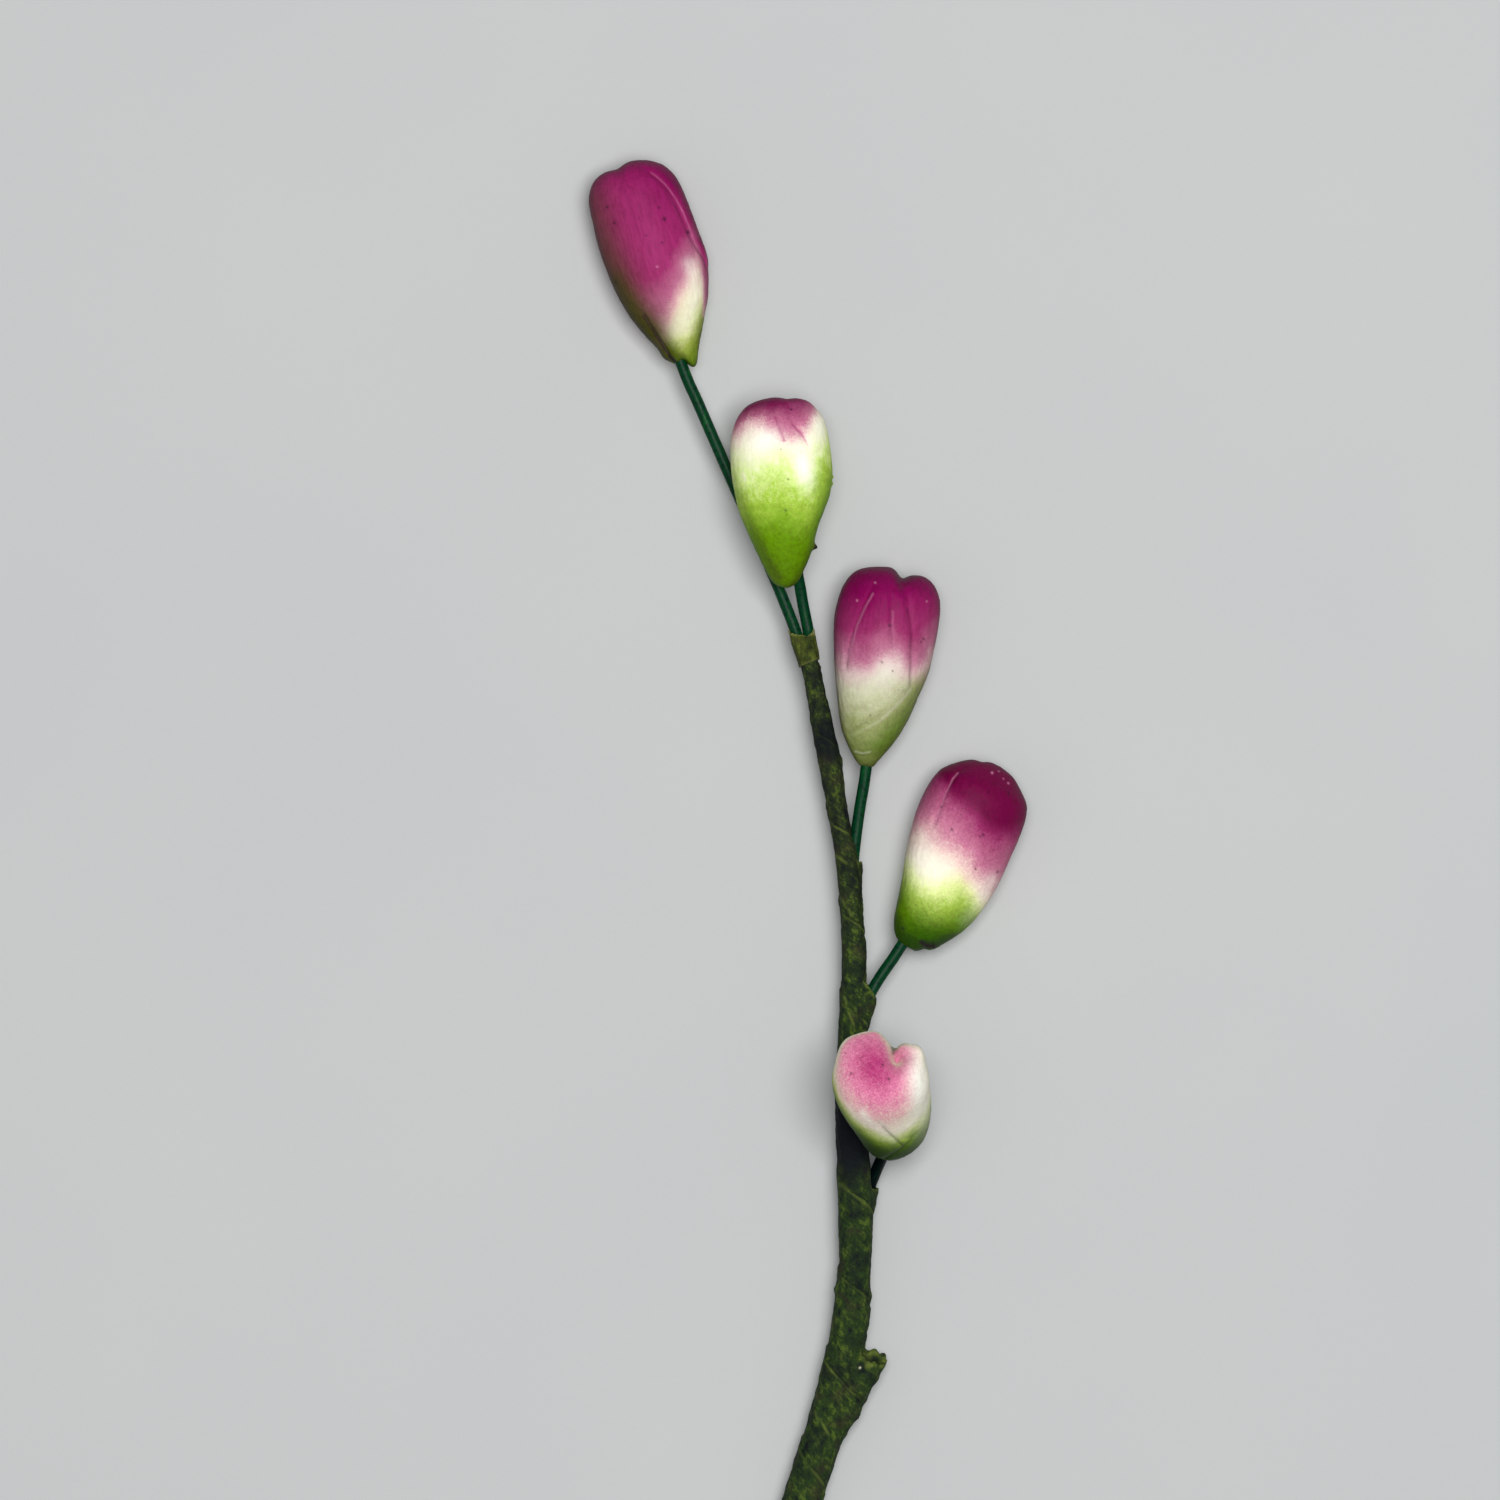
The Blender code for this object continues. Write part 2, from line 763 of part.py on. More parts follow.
def wound_body():
    """The wound strip's outside between the cut end and the collar, as one closed body."""
    first = math.floor((STEM_END - LAP_FRONT) / TAPE_PITCH) - 1
    last = math.ceil((STEM_TOP - LAP_FRONT) / TAPE_PITCH) + 1
    mesh = bmesh.new()
    rows = []
    for turn in range(first, last + 1):
        for share, rise in LAP_ROWS:
            rows.append([mesh.verts.new(to_metres(p)) for p in wound_row(turn, share, rise)])
    each_turn = len(LAP_ROWS)
    for low in range(len(rows) - 1):
        for side in range(TAPE_SIDES):
            wraps = side + 1 == TAPE_SIDES
            shift = each_turn if wraps else 0
            if low + 1 + shift >= len(rows):
                continue
            after = 0 if wraps else side + 1
            corners = (
                rows[low][side],
                rows[low + shift][after],
                rows[low + 1 + shift][after],
                rows[low + 1][side],
            )
            mesh.faces.new(corners)
    trim(mesh, spine_point(STEM_END), -spine_frame(STEM_END)[1])
    trim(mesh, spine_point(STEM_TOP), Vector((-COLLAR_FOOT_SLANT, 1, 0)))
    return mesh


def trim(mesh, place, outward):
    """Cuts the body off square to a direction and closes the cut."""
    parts = mesh.verts[:] + mesh.edges[:] + mesh.faces[:]
    bmesh.ops.bisect_plane(
        mesh, geom=parts, dist=1e-8, plane_co=to_metres(place), plane_no=outward, clear_outer=True
    )
    normal = Vector(outward).normalized()
    cut = [
        edge
        for edge in mesh.edges
        if edge.is_boundary
        and all(abs((v.co - to_metres(place)).dot(normal)) < 1e-7 for v in edge.verts)
    ]
    bmesh.ops.contextual_create(mesh, geom=cut)


def channel_cutter(collection):
    """The room for the bundle of wires inside the tape."""
    rings = []
    height = WIRE_END - 2
    while height < STEM_TOP + 3:
        half_width, half_depth = smooth_at(STEM_SECTIONS, height)
        rings.append(
            [
                section_point(
                    spine_frame(height),
                    half_width - TAPE_WALL,
                    half_depth - TAPE_WALL,
                    360 * side / CHANNEL_SIDES,
                    CHANNEL_SQUARED,
                )
                for side in range(CHANNEL_SIDES)
            ]
        )
        height += CHANNEL_STEP
    return as_cutter(object_from("channel", loft(rings), collection))


def make_stem_tape(routes, parts, cutters):
    """The wound tape with a mouth for each wire that leaves it."""
    tape = object_from("stem_tape", wound_body(), parts, material("olive_tape", TAPE_COLOUR, TAPE_ROUGHNESS))
    for name, (start, end, start_radius, end_radius, facing, _) in MOUTHS.items():
        mouth = cone_between("mouth_" + name, start, end, start_radius, end_radius, cutters, facing)
        boolean(tape, as_cutter(mouth), "UNION")
    boolean(tape, channel_cutter(cutters), "DIFFERENCE")
    for name, (_, _, _, _, _, (low, high)) in MOUTHS.items():
        room = tube_along(
            "room_" + name,
            stretch(routes[name], low, high),
            WIRE_RADIUS + WIRE_CLEARANCE,
            cutters,
        )
        boolean(tape, as_cutter(room), "DIFFERENCE")
    hollow = cone_between("stub_hollow", *STUB_HOLLOW, cutters)
    boolean(tape, as_cutter(hollow), "DIFFERENCE")
    return tape


def collar_ring(share, inset):
    """One ring of the collar, slanted at its foot and torn at its mouth."""
    across, half_width, half_depth = smooth_at(COLLAR_SECTIONS, share)
    ring = []
    for side in range(COLLAR_SIDES):
        angle = 360 * side / COLLAR_SIDES
        turn = math.radians(angle)
        sideways = math.copysign(abs(math.cos(turn)) ** (2 / ROUND_SQUARED), math.cos(turn))
        outward = math.copysign(abs(math.sin(turn)) ** (2 / ROUND_SQUARED), math.sin(turn))
        x = across + sideways * (half_width - inset)
        foot = COLLAR_FOOT + COLLAR_FOOT_SLANT * (x - COLLAR_SECTIONS[0][1])
        mouth = COLLAR_MOUTH
        for place, rise, spread in COLLAR_FLAPS:
            away = (angle - place + 180) % 360 - 180
            mouth += rise * math.exp(-((away / spread) ** 2))
        height = foot + (mouth - foot) * share
        ring.append((x, height, spine_point(height).z + outward * (half_depth - inset)))
    return ring


def make_collar(parts):
    """The short lighter band of tape round the top fork."""
    shares = [0.0, 0.25, 0.5, 0.75, 1.0]
    outside = [collar_ring(share, 0.0) for share in shares]
    inside = [collar_ring(share, COLLAR_WALL) for share in reversed(shares)]
    finish = material("light_tape", COLLAR_COLOUR, TAPE_ROUGHNESS)
    return object_from("top_collar", loft(outside + inside, ring_closed=True), parts, finish)


# The whole sprig


def clear_scene():
    """Removes whatever the file holds."""
    for old in list(bpy.data.objects):
        bpy.data.objects.remove(old)


def new_collection(name):
    """A collection linked to the scene."""
    made = bpy.data.collections.new(name)
    bpy.context.scene.collection.children.link(made)
    return made


def main():
    """Makes every piece in its place."""
    clear_scene()
    parts = new_collection("orchid_bud_sprig")
    cutters = new_collection("cutters")
    routes = {name: wire_points(name) for name in BUNDLE}
    for name, route in routes.items():
        colour = CUT_WIRE_COLOUR if name == "cut_wire" else WIRE_COLOUR
        finish = material(name + "_coating", colour, WIRE_ROUGHNESS)
        tube_along(name, route, WIRE_RADIUS, parts, finish)
    for number, bud in enumerate(BUDS, start=1):
        made = make_bud(bud, parts)
        route = routes[f"wire_{number}"]
        deeper = route[0] + (route[0] - route[1]).normalized() * WIRE_CLEARANCE
        socket_points = [deeper] + route[1:5]
        socket = tube_along(f"socket_{number}", socket_points, WIRE_RADIUS + WIRE_CLEARANCE, cutters)
        boolean(made, as_cutter(socket), "DIFFERENCE")
    make_stem_tape(routes, parts, cutters)
    make_collar(parts)


main()
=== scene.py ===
"""The finished look of an artificial orchid bud sprig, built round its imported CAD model.

Five airbrushed clay buds sit on glossy green wires, and crepe floral tape binds the wires into one
stem. The sprig lies on its back: +X is to the right across it, +Y runs up it to the top bud and +Z
points up from the table. Sizes here are in millimetres, and the meshes are in metres.
"""

import logging
import math
from dataclasses import dataclass
from enum import Enum
from typing import Any, Callable, Mapping, Optional, Sequence, Union

import bpy
import numpy as np
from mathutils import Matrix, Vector, noise


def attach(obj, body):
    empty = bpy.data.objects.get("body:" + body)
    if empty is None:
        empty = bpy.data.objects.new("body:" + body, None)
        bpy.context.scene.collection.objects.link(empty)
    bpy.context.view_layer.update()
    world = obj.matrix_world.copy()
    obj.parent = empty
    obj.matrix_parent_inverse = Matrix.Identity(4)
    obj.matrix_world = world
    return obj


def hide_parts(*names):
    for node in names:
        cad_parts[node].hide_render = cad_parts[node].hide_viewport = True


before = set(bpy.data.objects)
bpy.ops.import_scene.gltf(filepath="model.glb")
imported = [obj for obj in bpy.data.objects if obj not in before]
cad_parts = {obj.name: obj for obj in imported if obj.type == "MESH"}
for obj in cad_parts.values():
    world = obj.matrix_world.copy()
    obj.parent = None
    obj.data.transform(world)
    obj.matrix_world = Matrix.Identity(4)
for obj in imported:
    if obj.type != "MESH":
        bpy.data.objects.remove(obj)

LOG = logging.getLogger("orchid_bud_sprig")
MM = 0.001
Rows = Sequence[Sequence[float]]
Point = Sequence[float]
Place = Callable[[np.ndarray, np.ndarray], np.ndarray]


def srgb(red: float, green: float, blue: float) -> tuple[float, float, float, float]:
    """Turns a colour given as screen values from 0 to 255 into linear light.

    Args:
        red: Its red.
        green: Its green.
        blue: Its blue.

    Returns:
        The colour with full alpha.
    """
    linear = []
    for value in (red, green, blue):
        share = value / 255
        linear.append(share / 12.92 if share < 0.04045 else ((share + 0.055) / 1.055) ** 2.4)
    return (linear[0], linear[1], linear[2], 1.0)


# Curves and falling-off weights


def eased(share: np.ndarray) -> np.ndarray:
    """A share held between 0 and 1 that starts and ends gently."""
    held = np.clip(share, 0.0, 1.0)
    return held * held * (3 - 2 * held)


def bell(distance: np.ndarray, width: float) -> np.ndarray:
    """A weight of 1 at no distance that falls off over the width."""
    return np.exp(-((distance / width) ** 2))


def unit(rows: np.ndarray) -> np.ndarray:
    """Rows of directions, each made 1 long."""
    return rows / np.linalg.norm(rows, axis=1)[:, None]


class SmoothCurve:
    """A smooth curve through rows of numbers, each row starting with its key, in rising order."""

    def __init__(self, rows: Rows) -> None:
        """Works out the slope at each row.

        Args:
            rows: A key and its values in each row.
        """
        self.table = np.array(rows, float)
        keys, values = self.table[:, 0], self.table[:, 1:]
        before = np.maximum(np.arange(len(keys)) - 1, 0)
        after = np.minimum(np.arange(len(keys)) + 1, len(keys) - 1)
        self.slopes = (values[after] - values[before]) / (keys[after] - keys[before])[:, None]

    def spans(self, keys: np.ndarray) -> tuple[np.ndarray, np.ndarray, np.ndarray]:
        """Finds the rows on both sides of each key.

        Args:
            keys: Where the curve is read.

        Returns:
            The index of the row below, the span to the next row and the share of it.
        """
        index = np.searchsorted(self.table[:, 0], keys, side="left") - 1
        index = np.clip(index, 0, len(self.table) - 2)
        span = self.table[index + 1, 0] - self.table[index, 0]
        share = np.clip((keys - self.table[index, 0]) / span, 0.0, 1.0)
        return index, span[:, None], share[:, None]

    def at(self, keys: np.ndarray) -> np.ndarray:
        """Reads the curve.

        Args:
            keys: Where it is read.

        Returns:
            One row of values for each key.
        """
        index, span, share = self.spans(np.asarray(keys, float))
        start, end = self.table[index, 1:], self.table[index + 1, 1:]
        square, cube = share**2, share**3
        value = (2 * cube - 3 * square + 1) * start + (3 * square - 2 * cube) * end
        value += (cube - 2 * square + share) * span * self.slopes[index]
        value += (cube - square) * span * self.slopes[index + 1]
        return value

    def gently_at(self, keys: np.ndarray) -> np.ndarray:
        """Reads the rows, moving gently from each to the next.

        Args:
            keys: Where they are read.

        Returns:
            One row of values for each key.
        """
        index, _, share = self.spans(np.asarray(keys, float))
        start, end = self.table[index, 1:], self.table[index + 1, 1:]
        return start + (end - start) * eased(share)


class Trail:
    """A line of straight lengths on a flat sheet, that paint and creases follow."""

    def __init__(self, points: Rows) -> None:
        """Keeps the line's points."""
        self.points = np.array(points, float)

    def nearest(self, places: np.ndarray) -> tuple[np.ndarray, np.ndarray, np.ndarray]:
        """Measures places against the line.

        Args:
            places: Rows of two or three coordinates, as many as the line's points have.

        Returns:
            The distance to the line, the share of its length at the nearest point, and the side of
            it on the sheet: above 0 to the right of the way the line runs.
        """
        best = np.full(len(places), np.inf)
        along = np.zeros(len(places))
        side = np.zeros(len(places))
        steps = np.diff(self.points, axis=0)
        lengths = np.linalg.norm(steps, axis=1)
        done = np.concatenate([[0.0], np.cumsum(lengths)])
        for index, (start, step) in enumerate(zip(self.points, steps)):
            away = places - start
            share = np.clip(away @ step / lengths[index] ** 2, 0.0, 1.0)
            distance = np.linalg.norm(away - share[:, None] * step, axis=1)
            closer = distance < best
            best = np.where(closer, distance, best)
            along = np.where(closer, (done[index] + share * lengths[index]) / done[-1], along)
            turn = away[:, 0] * step[1] - away[:, 1] * step[0]
            side = np.where(closer, np.sign(turn), side)
        return best, along, side


def grain(points: np.ndarray, scale: Point, octaves: int = 3) -> np.ndarray:
    """Smooth random values about 0 that depend only on the place.

    Args:
        points: Places in millimetres.
        scale: How many lumps there are to a millimetre, along each axis.
        octaves: How many finer layers are laid over one another.

    Returns:
        One value between about -1 and 1 for each place.
    """
    stretched = points * np.array(scale)
    values = [noise.fractal(Vector(place), 1.0, 2.0, octaves) for place in stretched.tolist()]
    return np.clip(np.array(values), -1.5, 1.5)


# Work on one mesh at a time


class Bench:
    """Modelling steps that each act on one piece, with nothing else selected."""

    @staticmethod
    def take(piece: bpy.types.Object) -> None:
        """Deselects everything else and makes the piece the active one.

        Args:
            piece: The piece that is worked on next.
        """
        bpy.ops.object.select_all(action="DESELECT")
        piece.select_set(True)
        bpy.context.view_layer.objects.active = piece

    @staticmethod
    def newest(name: str) -> bpy.types.Object:
        """Names the primitive that was just added.

        Args:
            name: Its name.

        Returns:
            The primitive.
        """
        piece = bpy.context.object
        piece.name = piece.data.name = name
        return piece

    @staticmethod
    def points(piece: bpy.types.Object) -> np.ndarray:
        """Reads the piece's vertices.

        Args:
            piece: The piece.

        Returns:
            Their places in millimetres.
        """
        flat = np.empty(len(piece.data.vertices) * 3)
        piece.data.vertices.foreach_get("co", flat)
        return flat.reshape(-1, 3) / MM

    @staticmethod
    def move_to(piece: bpy.types.Object, points: np.ndarray) -> None:
        """Puts the piece's vertices at points in millimetres."""
        piece.data.vertices.foreach_set("co", (points * MM).ravel())
        piece.data.update()

    @staticmethod
    def normals(piece: bpy.types.Object) -> np.ndarray:
        """Reads the way that the surface faces.

        Args:
            piece: The piece.

        Returns:
            One direction for each vertex.
        """
        flat = np.empty(len(piece.data.vertices) * 3)
        piece.data.vertex_normals.foreach_get("vector", flat)
        return flat.reshape(-1, 3)

    @staticmethod
    def push(piece: bpy.types.Object, amounts: np.ndarray) -> None:
        """Moves each vertex outwards, but not below the table.

        Args:
            piece: The piece.
            amounts: How far each moves, in millimetres.
        """
        places = Bench.points(piece) + Bench.normals(piece) * amounts[:, None]
        places[:, 2] = np.maximum(places[:, 2], 0.0)
        Bench.move_to(piece, places)

    @staticmethod
    def rolled(name: str, around: int, along: int, place: Place) -> bpy.types.Object:
        """Rolls a flat sheet into a closed tube with capped ends.

        Args:
            name: The piece's name.
            around: How many faces go round the tube.
            along: How many faces go along it.
            place: Gives the points for shares of the way round and steps of the way along.

        Returns:
            The tube, with its faces pointing outwards.
        """
        bpy.ops.object.select_all(action="DESELECT")
        bpy.ops.mesh.primitive_grid_add(x_subdivisions=around, y_subdivisions=along, size=1)
        piece = Bench.newest(name)
        flat = Bench.points(piece) * MM
        turn = np.rint((flat[:, 0] + 0.5) * around)
        step = np.rint((flat[:, 1] + 0.5) * along)
        Bench.move_to(piece, place(turn / around, step))
        Bench.take(piece)
        bpy.ops.object.mode_set(mode="EDIT")
        bpy.ops.mesh.select_all(action="SELECT")
        bpy.ops.mesh.remove_doubles(threshold=2e-7)
        bpy.ops.mesh.select_all(action="DESELECT")
        bpy.ops.mesh.select_mode(type="EDGE")
        bpy.ops.mesh.select_non_manifold(extend=False, use_wire=False)
        bpy.ops.mesh.edge_face_add()
        bpy.ops.mesh.select_mode(type="VERT")
        bpy.ops.object.mode_set(mode="OBJECT")
        Bench.face_outwards(piece)
        return piece

    @staticmethod
    def face_outwards(piece: bpy.types.Object) -> None:
        """Turns all the faces outwards, which shows in the sign of the room that they hold.

        Args:
            piece: A closed mesh.
        """
        Bench.take(piece)
        bpy.ops.object.mode_set(mode="EDIT")
        bpy.ops.mesh.select_all(action="SELECT")
        bpy.ops.mesh.normals_make_consistent(inside=False)
        bpy.ops.object.mode_set(mode="OBJECT")
        piece.data.calc_loop_triangles()
        corners = np.empty(len(piece.data.loop_triangles) * 3, np.int32)
        piece.data.loop_triangles.foreach_get("vertices", corners)
        first, second, third = Bench.points(piece)[corners].reshape(-1, 3, 3).transpose(1, 0, 2)
        if np.sum(first * np.cross(second, third)) < 0:
            bpy.ops.object.mode_set(mode="EDIT")
            bpy.ops.mesh.flip_normals()
            bpy.ops.object.mode_set(mode="OBJECT")

    @staticmethod
    def trim(piece: bpy.types.Object, place: Point, outward: Point) -> None:
        """Cuts the piece off flat and caps it.

        Args:
            piece: The piece.
            place: A place on the cut, in millimetres.
            outward: Points square to the cut, to the side that goes.
        """
        Bench.take(piece)
        bpy.ops.object.mode_set(mode="EDIT")
        bpy.ops.mesh.select_all(action="SELECT")
        bpy.ops.mesh.bisect(
            plane_co=Vector(place) * MM,
            plane_no=Vector(outward).normalized(),
            use_fill=True,
            clear_outer=True,
            threshold=1e-8,
        )
        bpy.ops.object.mode_set(mode="OBJECT")

    @staticmethod
    def combine(piece: bpy.types.Object, other: bpy.types.Object, operation: str) -> None:
        """Applies a Boolean of the other piece, which is then removed.

        Args:
            piece: The piece that stays.
            other: The piece that goes.
            operation: The Boolean's operation.
        """
        Bench.take(piece)
        modifier = piece.modifiers.new(operation.lower(), "BOOLEAN")
        modifier.operation = operation
        modifier.solver = "MANIFOLD"
        modifier.object = other
        bpy.ops.object.modifier_apply(modifier=modifier.name)
        bpy.data.objects.remove(other)

    @staticmethod
    def soften(piece: bpy.types.Object, chosen: np.ndarray, repeat: int) -> None:
        """Evens out some of the vertices.

        Args:
            piece: The piece.
            chosen: Whether each vertex is one of them.
            repeat: How many times it is done.
        """
        Bench.take(piece)
        bpy.ops.object.mode_set(mode="EDIT")
        bpy.ops.mesh.select_mode(type="VERT")
        bpy.ops.object.mode_set(mode="OBJECT")
        piece.data.polygons.foreach_set("select", np.zeros(len(piece.data.polygons), bool))
        piece.data.edges.foreach_set("select", np.zeros(len(piece.data.edges), bool))
        piece.data.vertices.foreach_set("select", chosen)
        bpy.ops.object.mode_set(mode="EDIT")
        bpy.ops.mesh.vertices_smooth(factor=0.5, repeat=repeat)
        bpy.ops.object.mode_set(mode="OBJECT")

    @staticmethod
    def store(piece: bpy.types.Object, name: str, values: np.ndarray) -> None:
        """Keeps values for the vertices under a name that the finish reads.

        Args:
            piece: The piece.
            name: The values' name.
            values: One number, or one vector, for each vertex.
        """
        kind = "FLOAT" if values.ndim == 1 else "FLOAT_VECTOR"
        attribute = piece.data.attributes.new(name, kind, "POINT")
        attribute.data.foreach_set("value" if values.ndim == 1 else "vector", values.ravel())

    @staticmethod
    def hand_over(
        piece: bpy.types.Object, node: str, slot: str, finish: bpy.types.Material, angle: float = 180.0
    ) -> None:
        """Shades and finishes a piece, and lets it stand for its CAD node.

        Args:
            piece: The finished mesh.
            node: The CAD node that it replaces.
            slot: The record's material slot; not used.
            finish: Its material.
            angle: Edges sharper than this many degrees stay sharp.
        """
        Bench.take(piece)
        if angle < 180.0:
            bpy.ops.object.shade_smooth_by_angle(angle=math.radians(angle))
        else:
            bpy.ops.object.shade_smooth()
        piece.data.materials.clear()
        piece.data.materials.append(finish)
        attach(piece, "root")
        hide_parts(node)
        LOG.info("%s stands for %s with %d faces", piece.name, node, len(piece.data.polygons))


# Shader building


class Signal:
    """A number that varies over a surface. Arithmetic on it adds its own Math nodes."""

    def __init__(self, graph: "Graph", socket: bpy.types.NodeSocket) -> None:
        """Keeps the socket that the number comes from."""
        self.graph = graph
        self.socket = socket

    def worked(self, operation: str, *values: "Number", held: bool = False) -> "Signal":
        """Adds a Math node.

        Args:
            operation: What it does.
            values: Its inputs.
            held: Whether its result is kept between 0 and 1.

        Returns:
            Its result.
        """
        settings = {"operation": operation, "use_clamp": held}
        node = self.graph.add("ShaderNodeMath", settings, dict(enumerate(values)))
        return Signal(self.graph, node.outputs[0])

    def __add__(self, other: "Number") -> "Signal":
        """This signal plus another."""
        return self.worked("ADD", self, other)

    def __radd__(self, other: "Number") -> "Signal":
        """Another number plus this signal."""
        return self.worked("ADD", other, self)

    def __sub__(self, other: "Number") -> "Signal":
        """This signal less another."""
        return self.worked("SUBTRACT", self, other)

    def __rsub__(self, other: "Number") -> "Signal":
        """Another number less this signal."""
        return self.worked("SUBTRACT", other, self)

    def __mul__(self, other: "Number") -> "Signal":
        """This signal times another."""
        return self.worked("MULTIPLY", self, other)

    def __rmul__(self, other: "Number") -> "Signal":
        """Another number times this signal."""
        return self.worked("MULTIPLY", other, self)

    def held(self) -> "Signal":
        """This signal kept between 0 and 1."""
        return self.worked("ADD", self, 0.0, held=True)

    def between(self, low: float, high: float) -> "Signal":
        """Makes a signal that rises gently from 0 to 1.

        Args:
            low: Where it leaves 0.
            high: Where it reaches 1.

        Returns:
            The new signal.
        """
        node = self.graph.add(
            "ShaderNodeMapRange",
            {"interpolation_type": "SMOOTHSTEP"},
            {"Value": self, "From Min": low, "From Max": high},
        )
        return Signal(self.graph, node.outputs["Result"])


Number = Union[Signal, float]
Colour = Union[bpy.types.NodeSocket, Sequence[float]]


class Graph:
    """The nodes of one material, round one Principled shader."""

    def __init__(self, name: str) -> None:
        """Starts the material.

        Args:
            name: Its name.
        """
        self.material = bpy.data.materials.new(name)
        self.material.use_nodes = True
        self.tree = self.material.node_tree
        self.shader = self.tree.nodes["Principled BSDF"]

    def add(
        self, kind: str, settings: Mapping[str, Any], sockets: Mapping[Union[str, int], Any]
    ) -> bpy.types.Node:
        """Adds one node.

        Args:
            kind: The node's type.
            settings: Its own settings, set first. Stops are a ramp's places and colours.
            sockets: A value or a link for each of its sockets that is used.

        Returns:
            The node.
        """
        node = self.tree.nodes.new(kind)
        for name, value in settings.items():
            if name == "stops":
                stops = node.color_ramp.elements
                while len(stops) < len(value):
                    stops.new(1.0)
                for stop, (place, colour) in zip(stops, value):
                    stop.position, stop.color = place, colour
            else:
                setattr(node, name, value)
        self.feed(node, sockets)
        return node

    def feed(self, node: bpy.types.Node, sockets: Mapping[Union[str, int], Any]) -> None:
        """Sets or links a node's sockets.

        Args:
            node: The node.
            sockets: A value or a link for each of them.
        """
        for key, value in sockets.items():
            source = value.socket if isinstance(value, Signal) else value
            if isinstance(source, bpy.types.NodeSocket):
                self.tree.links.new(source, node.inputs[key])
            else:
                node.inputs[key].default_value = source

    def painted(self, name: str) -> Signal:
        """A number that the piece's vertices hold."""
        node = self.add("ShaderNodeAttribute", {"attribute_name": name}, {})
        return Signal(self, node.outputs["Fac"])

    def flow(self, name: str) -> bpy.types.NodeSocket:
        """A vector that the piece's vertices hold."""
        return self.add("ShaderNodeAttribute", {"attribute_name": name}, {}).outputs["Vector"]

    def place(self) -> bpy.types.NodeSocket:
        """Reads the place on the object.

        Returns:
            The place in millimetres.
        """
        source = self.add("ShaderNodeTexCoord", {}, {}).outputs["Object"]
        node = self.add("ShaderNodeVectorMath", {"operation": "SCALE"}, {0: source, "Scale": 1 / MM})
        return node.outputs["Vector"]

    def stretched(self, place: bpy.types.NodeSocket, scale: Point) -> bpy.types.NodeSocket:
        """A place with each of its axes scaled."""
        node = self.add("ShaderNodeVectorMath", {"operation": "MULTIPLY"}, {0: place, 1: tuple(scale)})
        return node.outputs["Vector"]

    def cloud(
        self, place: bpy.types.NodeSocket, scale: float, detail: float = 2.0, rough: float = 0.5
    ) -> Signal:
        """Adds cloudy noise.

        Args:
            place: Where it is read.
            scale: Its number of lumps to a millimetre.
            detail: How many finer layers it has.
            rough: How strong they are.

        Returns:
            The noise, from 0 to 1.
        """
        node = self.add(
            "ShaderNodeTexNoise",
            {},
            {"Vector": place, "Scale": scale, "Detail": detail, "Roughness": rough},
        )
        return Signal(self, node.outputs["Fac"])

    def dots(self, place: bpy.types.NodeSocket, scale: float, reach: float, share: float) -> Signal:
        """Scatters small dots over the cells of a grain.

        Args:
            place: Where they are read.
            scale: Its number of cells to a millimetre.
            reach: A dot's radius, by the cell.
            share: The share of the cells with one.

        Returns:
            1 on a dot and 0 off it.
        """
        node = self.add("ShaderNodeTexVoronoi", {}, {"Vector": place, "Scale": scale})
        near = 1.0 - Signal(self, node.outputs["Distance"]).between(reach * 0.5, reach)
        chosen = self.add("ShaderNodeSeparateColor", {}, {"Color": node.outputs["Color"]})
        return near * Signal(self, chosen.outputs[0]).between(1.0 - share, 1.0 - share * 0.8)

    def tinted(self, amount: Number, under: Colour, over: Colour, blend: str = "MIX") -> Colour:
        """Lays one colour over another.

        Args:
            amount: How much of it, from 0 to 1.
            under: The colour below.
            over: The colour above.
            blend: How the two mix.

        Returns:
            The mixed colour.
        """
        node = self.add(
            "ShaderNodeMix",
            {"data_type": "RGBA", "blend_type": blend, "clamp_factor": True},
            {0: amount, 6: under, 7: over},
        )
        return node.outputs[2]

    def ramp(self, amount: Signal, stops: Sequence[tuple[float, Sequence[float]]]) -> Colour:
        """A colour that runs through stops as the amount rises."""
        return self.add("ShaderNodeValToRGB", {"stops": stops}, {"Fac": amount}).outputs["Color"]

    def relief(self, height: Signal, depth: float, strength: float = 1.0) -> bpy.types.NodeSocket:
        """Bumps the surface.

        Args:
            height: How high it stands, from 0 to 1.
            depth: What 1 is, in millimetres.
            strength: How strong the bumps look.

        Returns:
            The bumped normal.
        """
        node = self.add(
            "ShaderNodeBump",
            {},
            {"Height": height, "Distance": depth * MM, "Strength": strength},
        )
        return node.outputs["Normal"]


# Finishes


class Coat(Enum):
    """The paints that an airbrush lays on the clay, with painted highlights and painted shade, by the name of the
    amount that a bud holds.
    """

    PINK = "pink"
    DEEP = "deep"
    GREEN = "green"
    BASE = "base"
    # Pale paint, and painted highlights where light catches the clay.
    PALE_AND_HIGHLIGHT = "pale"
    # Olive paint, and painted shade on flanks, bases and creases that turn away from the light.
    OLIVE_AND_SHADE = "olive"
    # Painted highlights along petal edges, and painted glints.
    LIGHT = "light"
    # Dark specks and a dark glue blob, and painted shade in creases and notches.
    DARK = "dark"


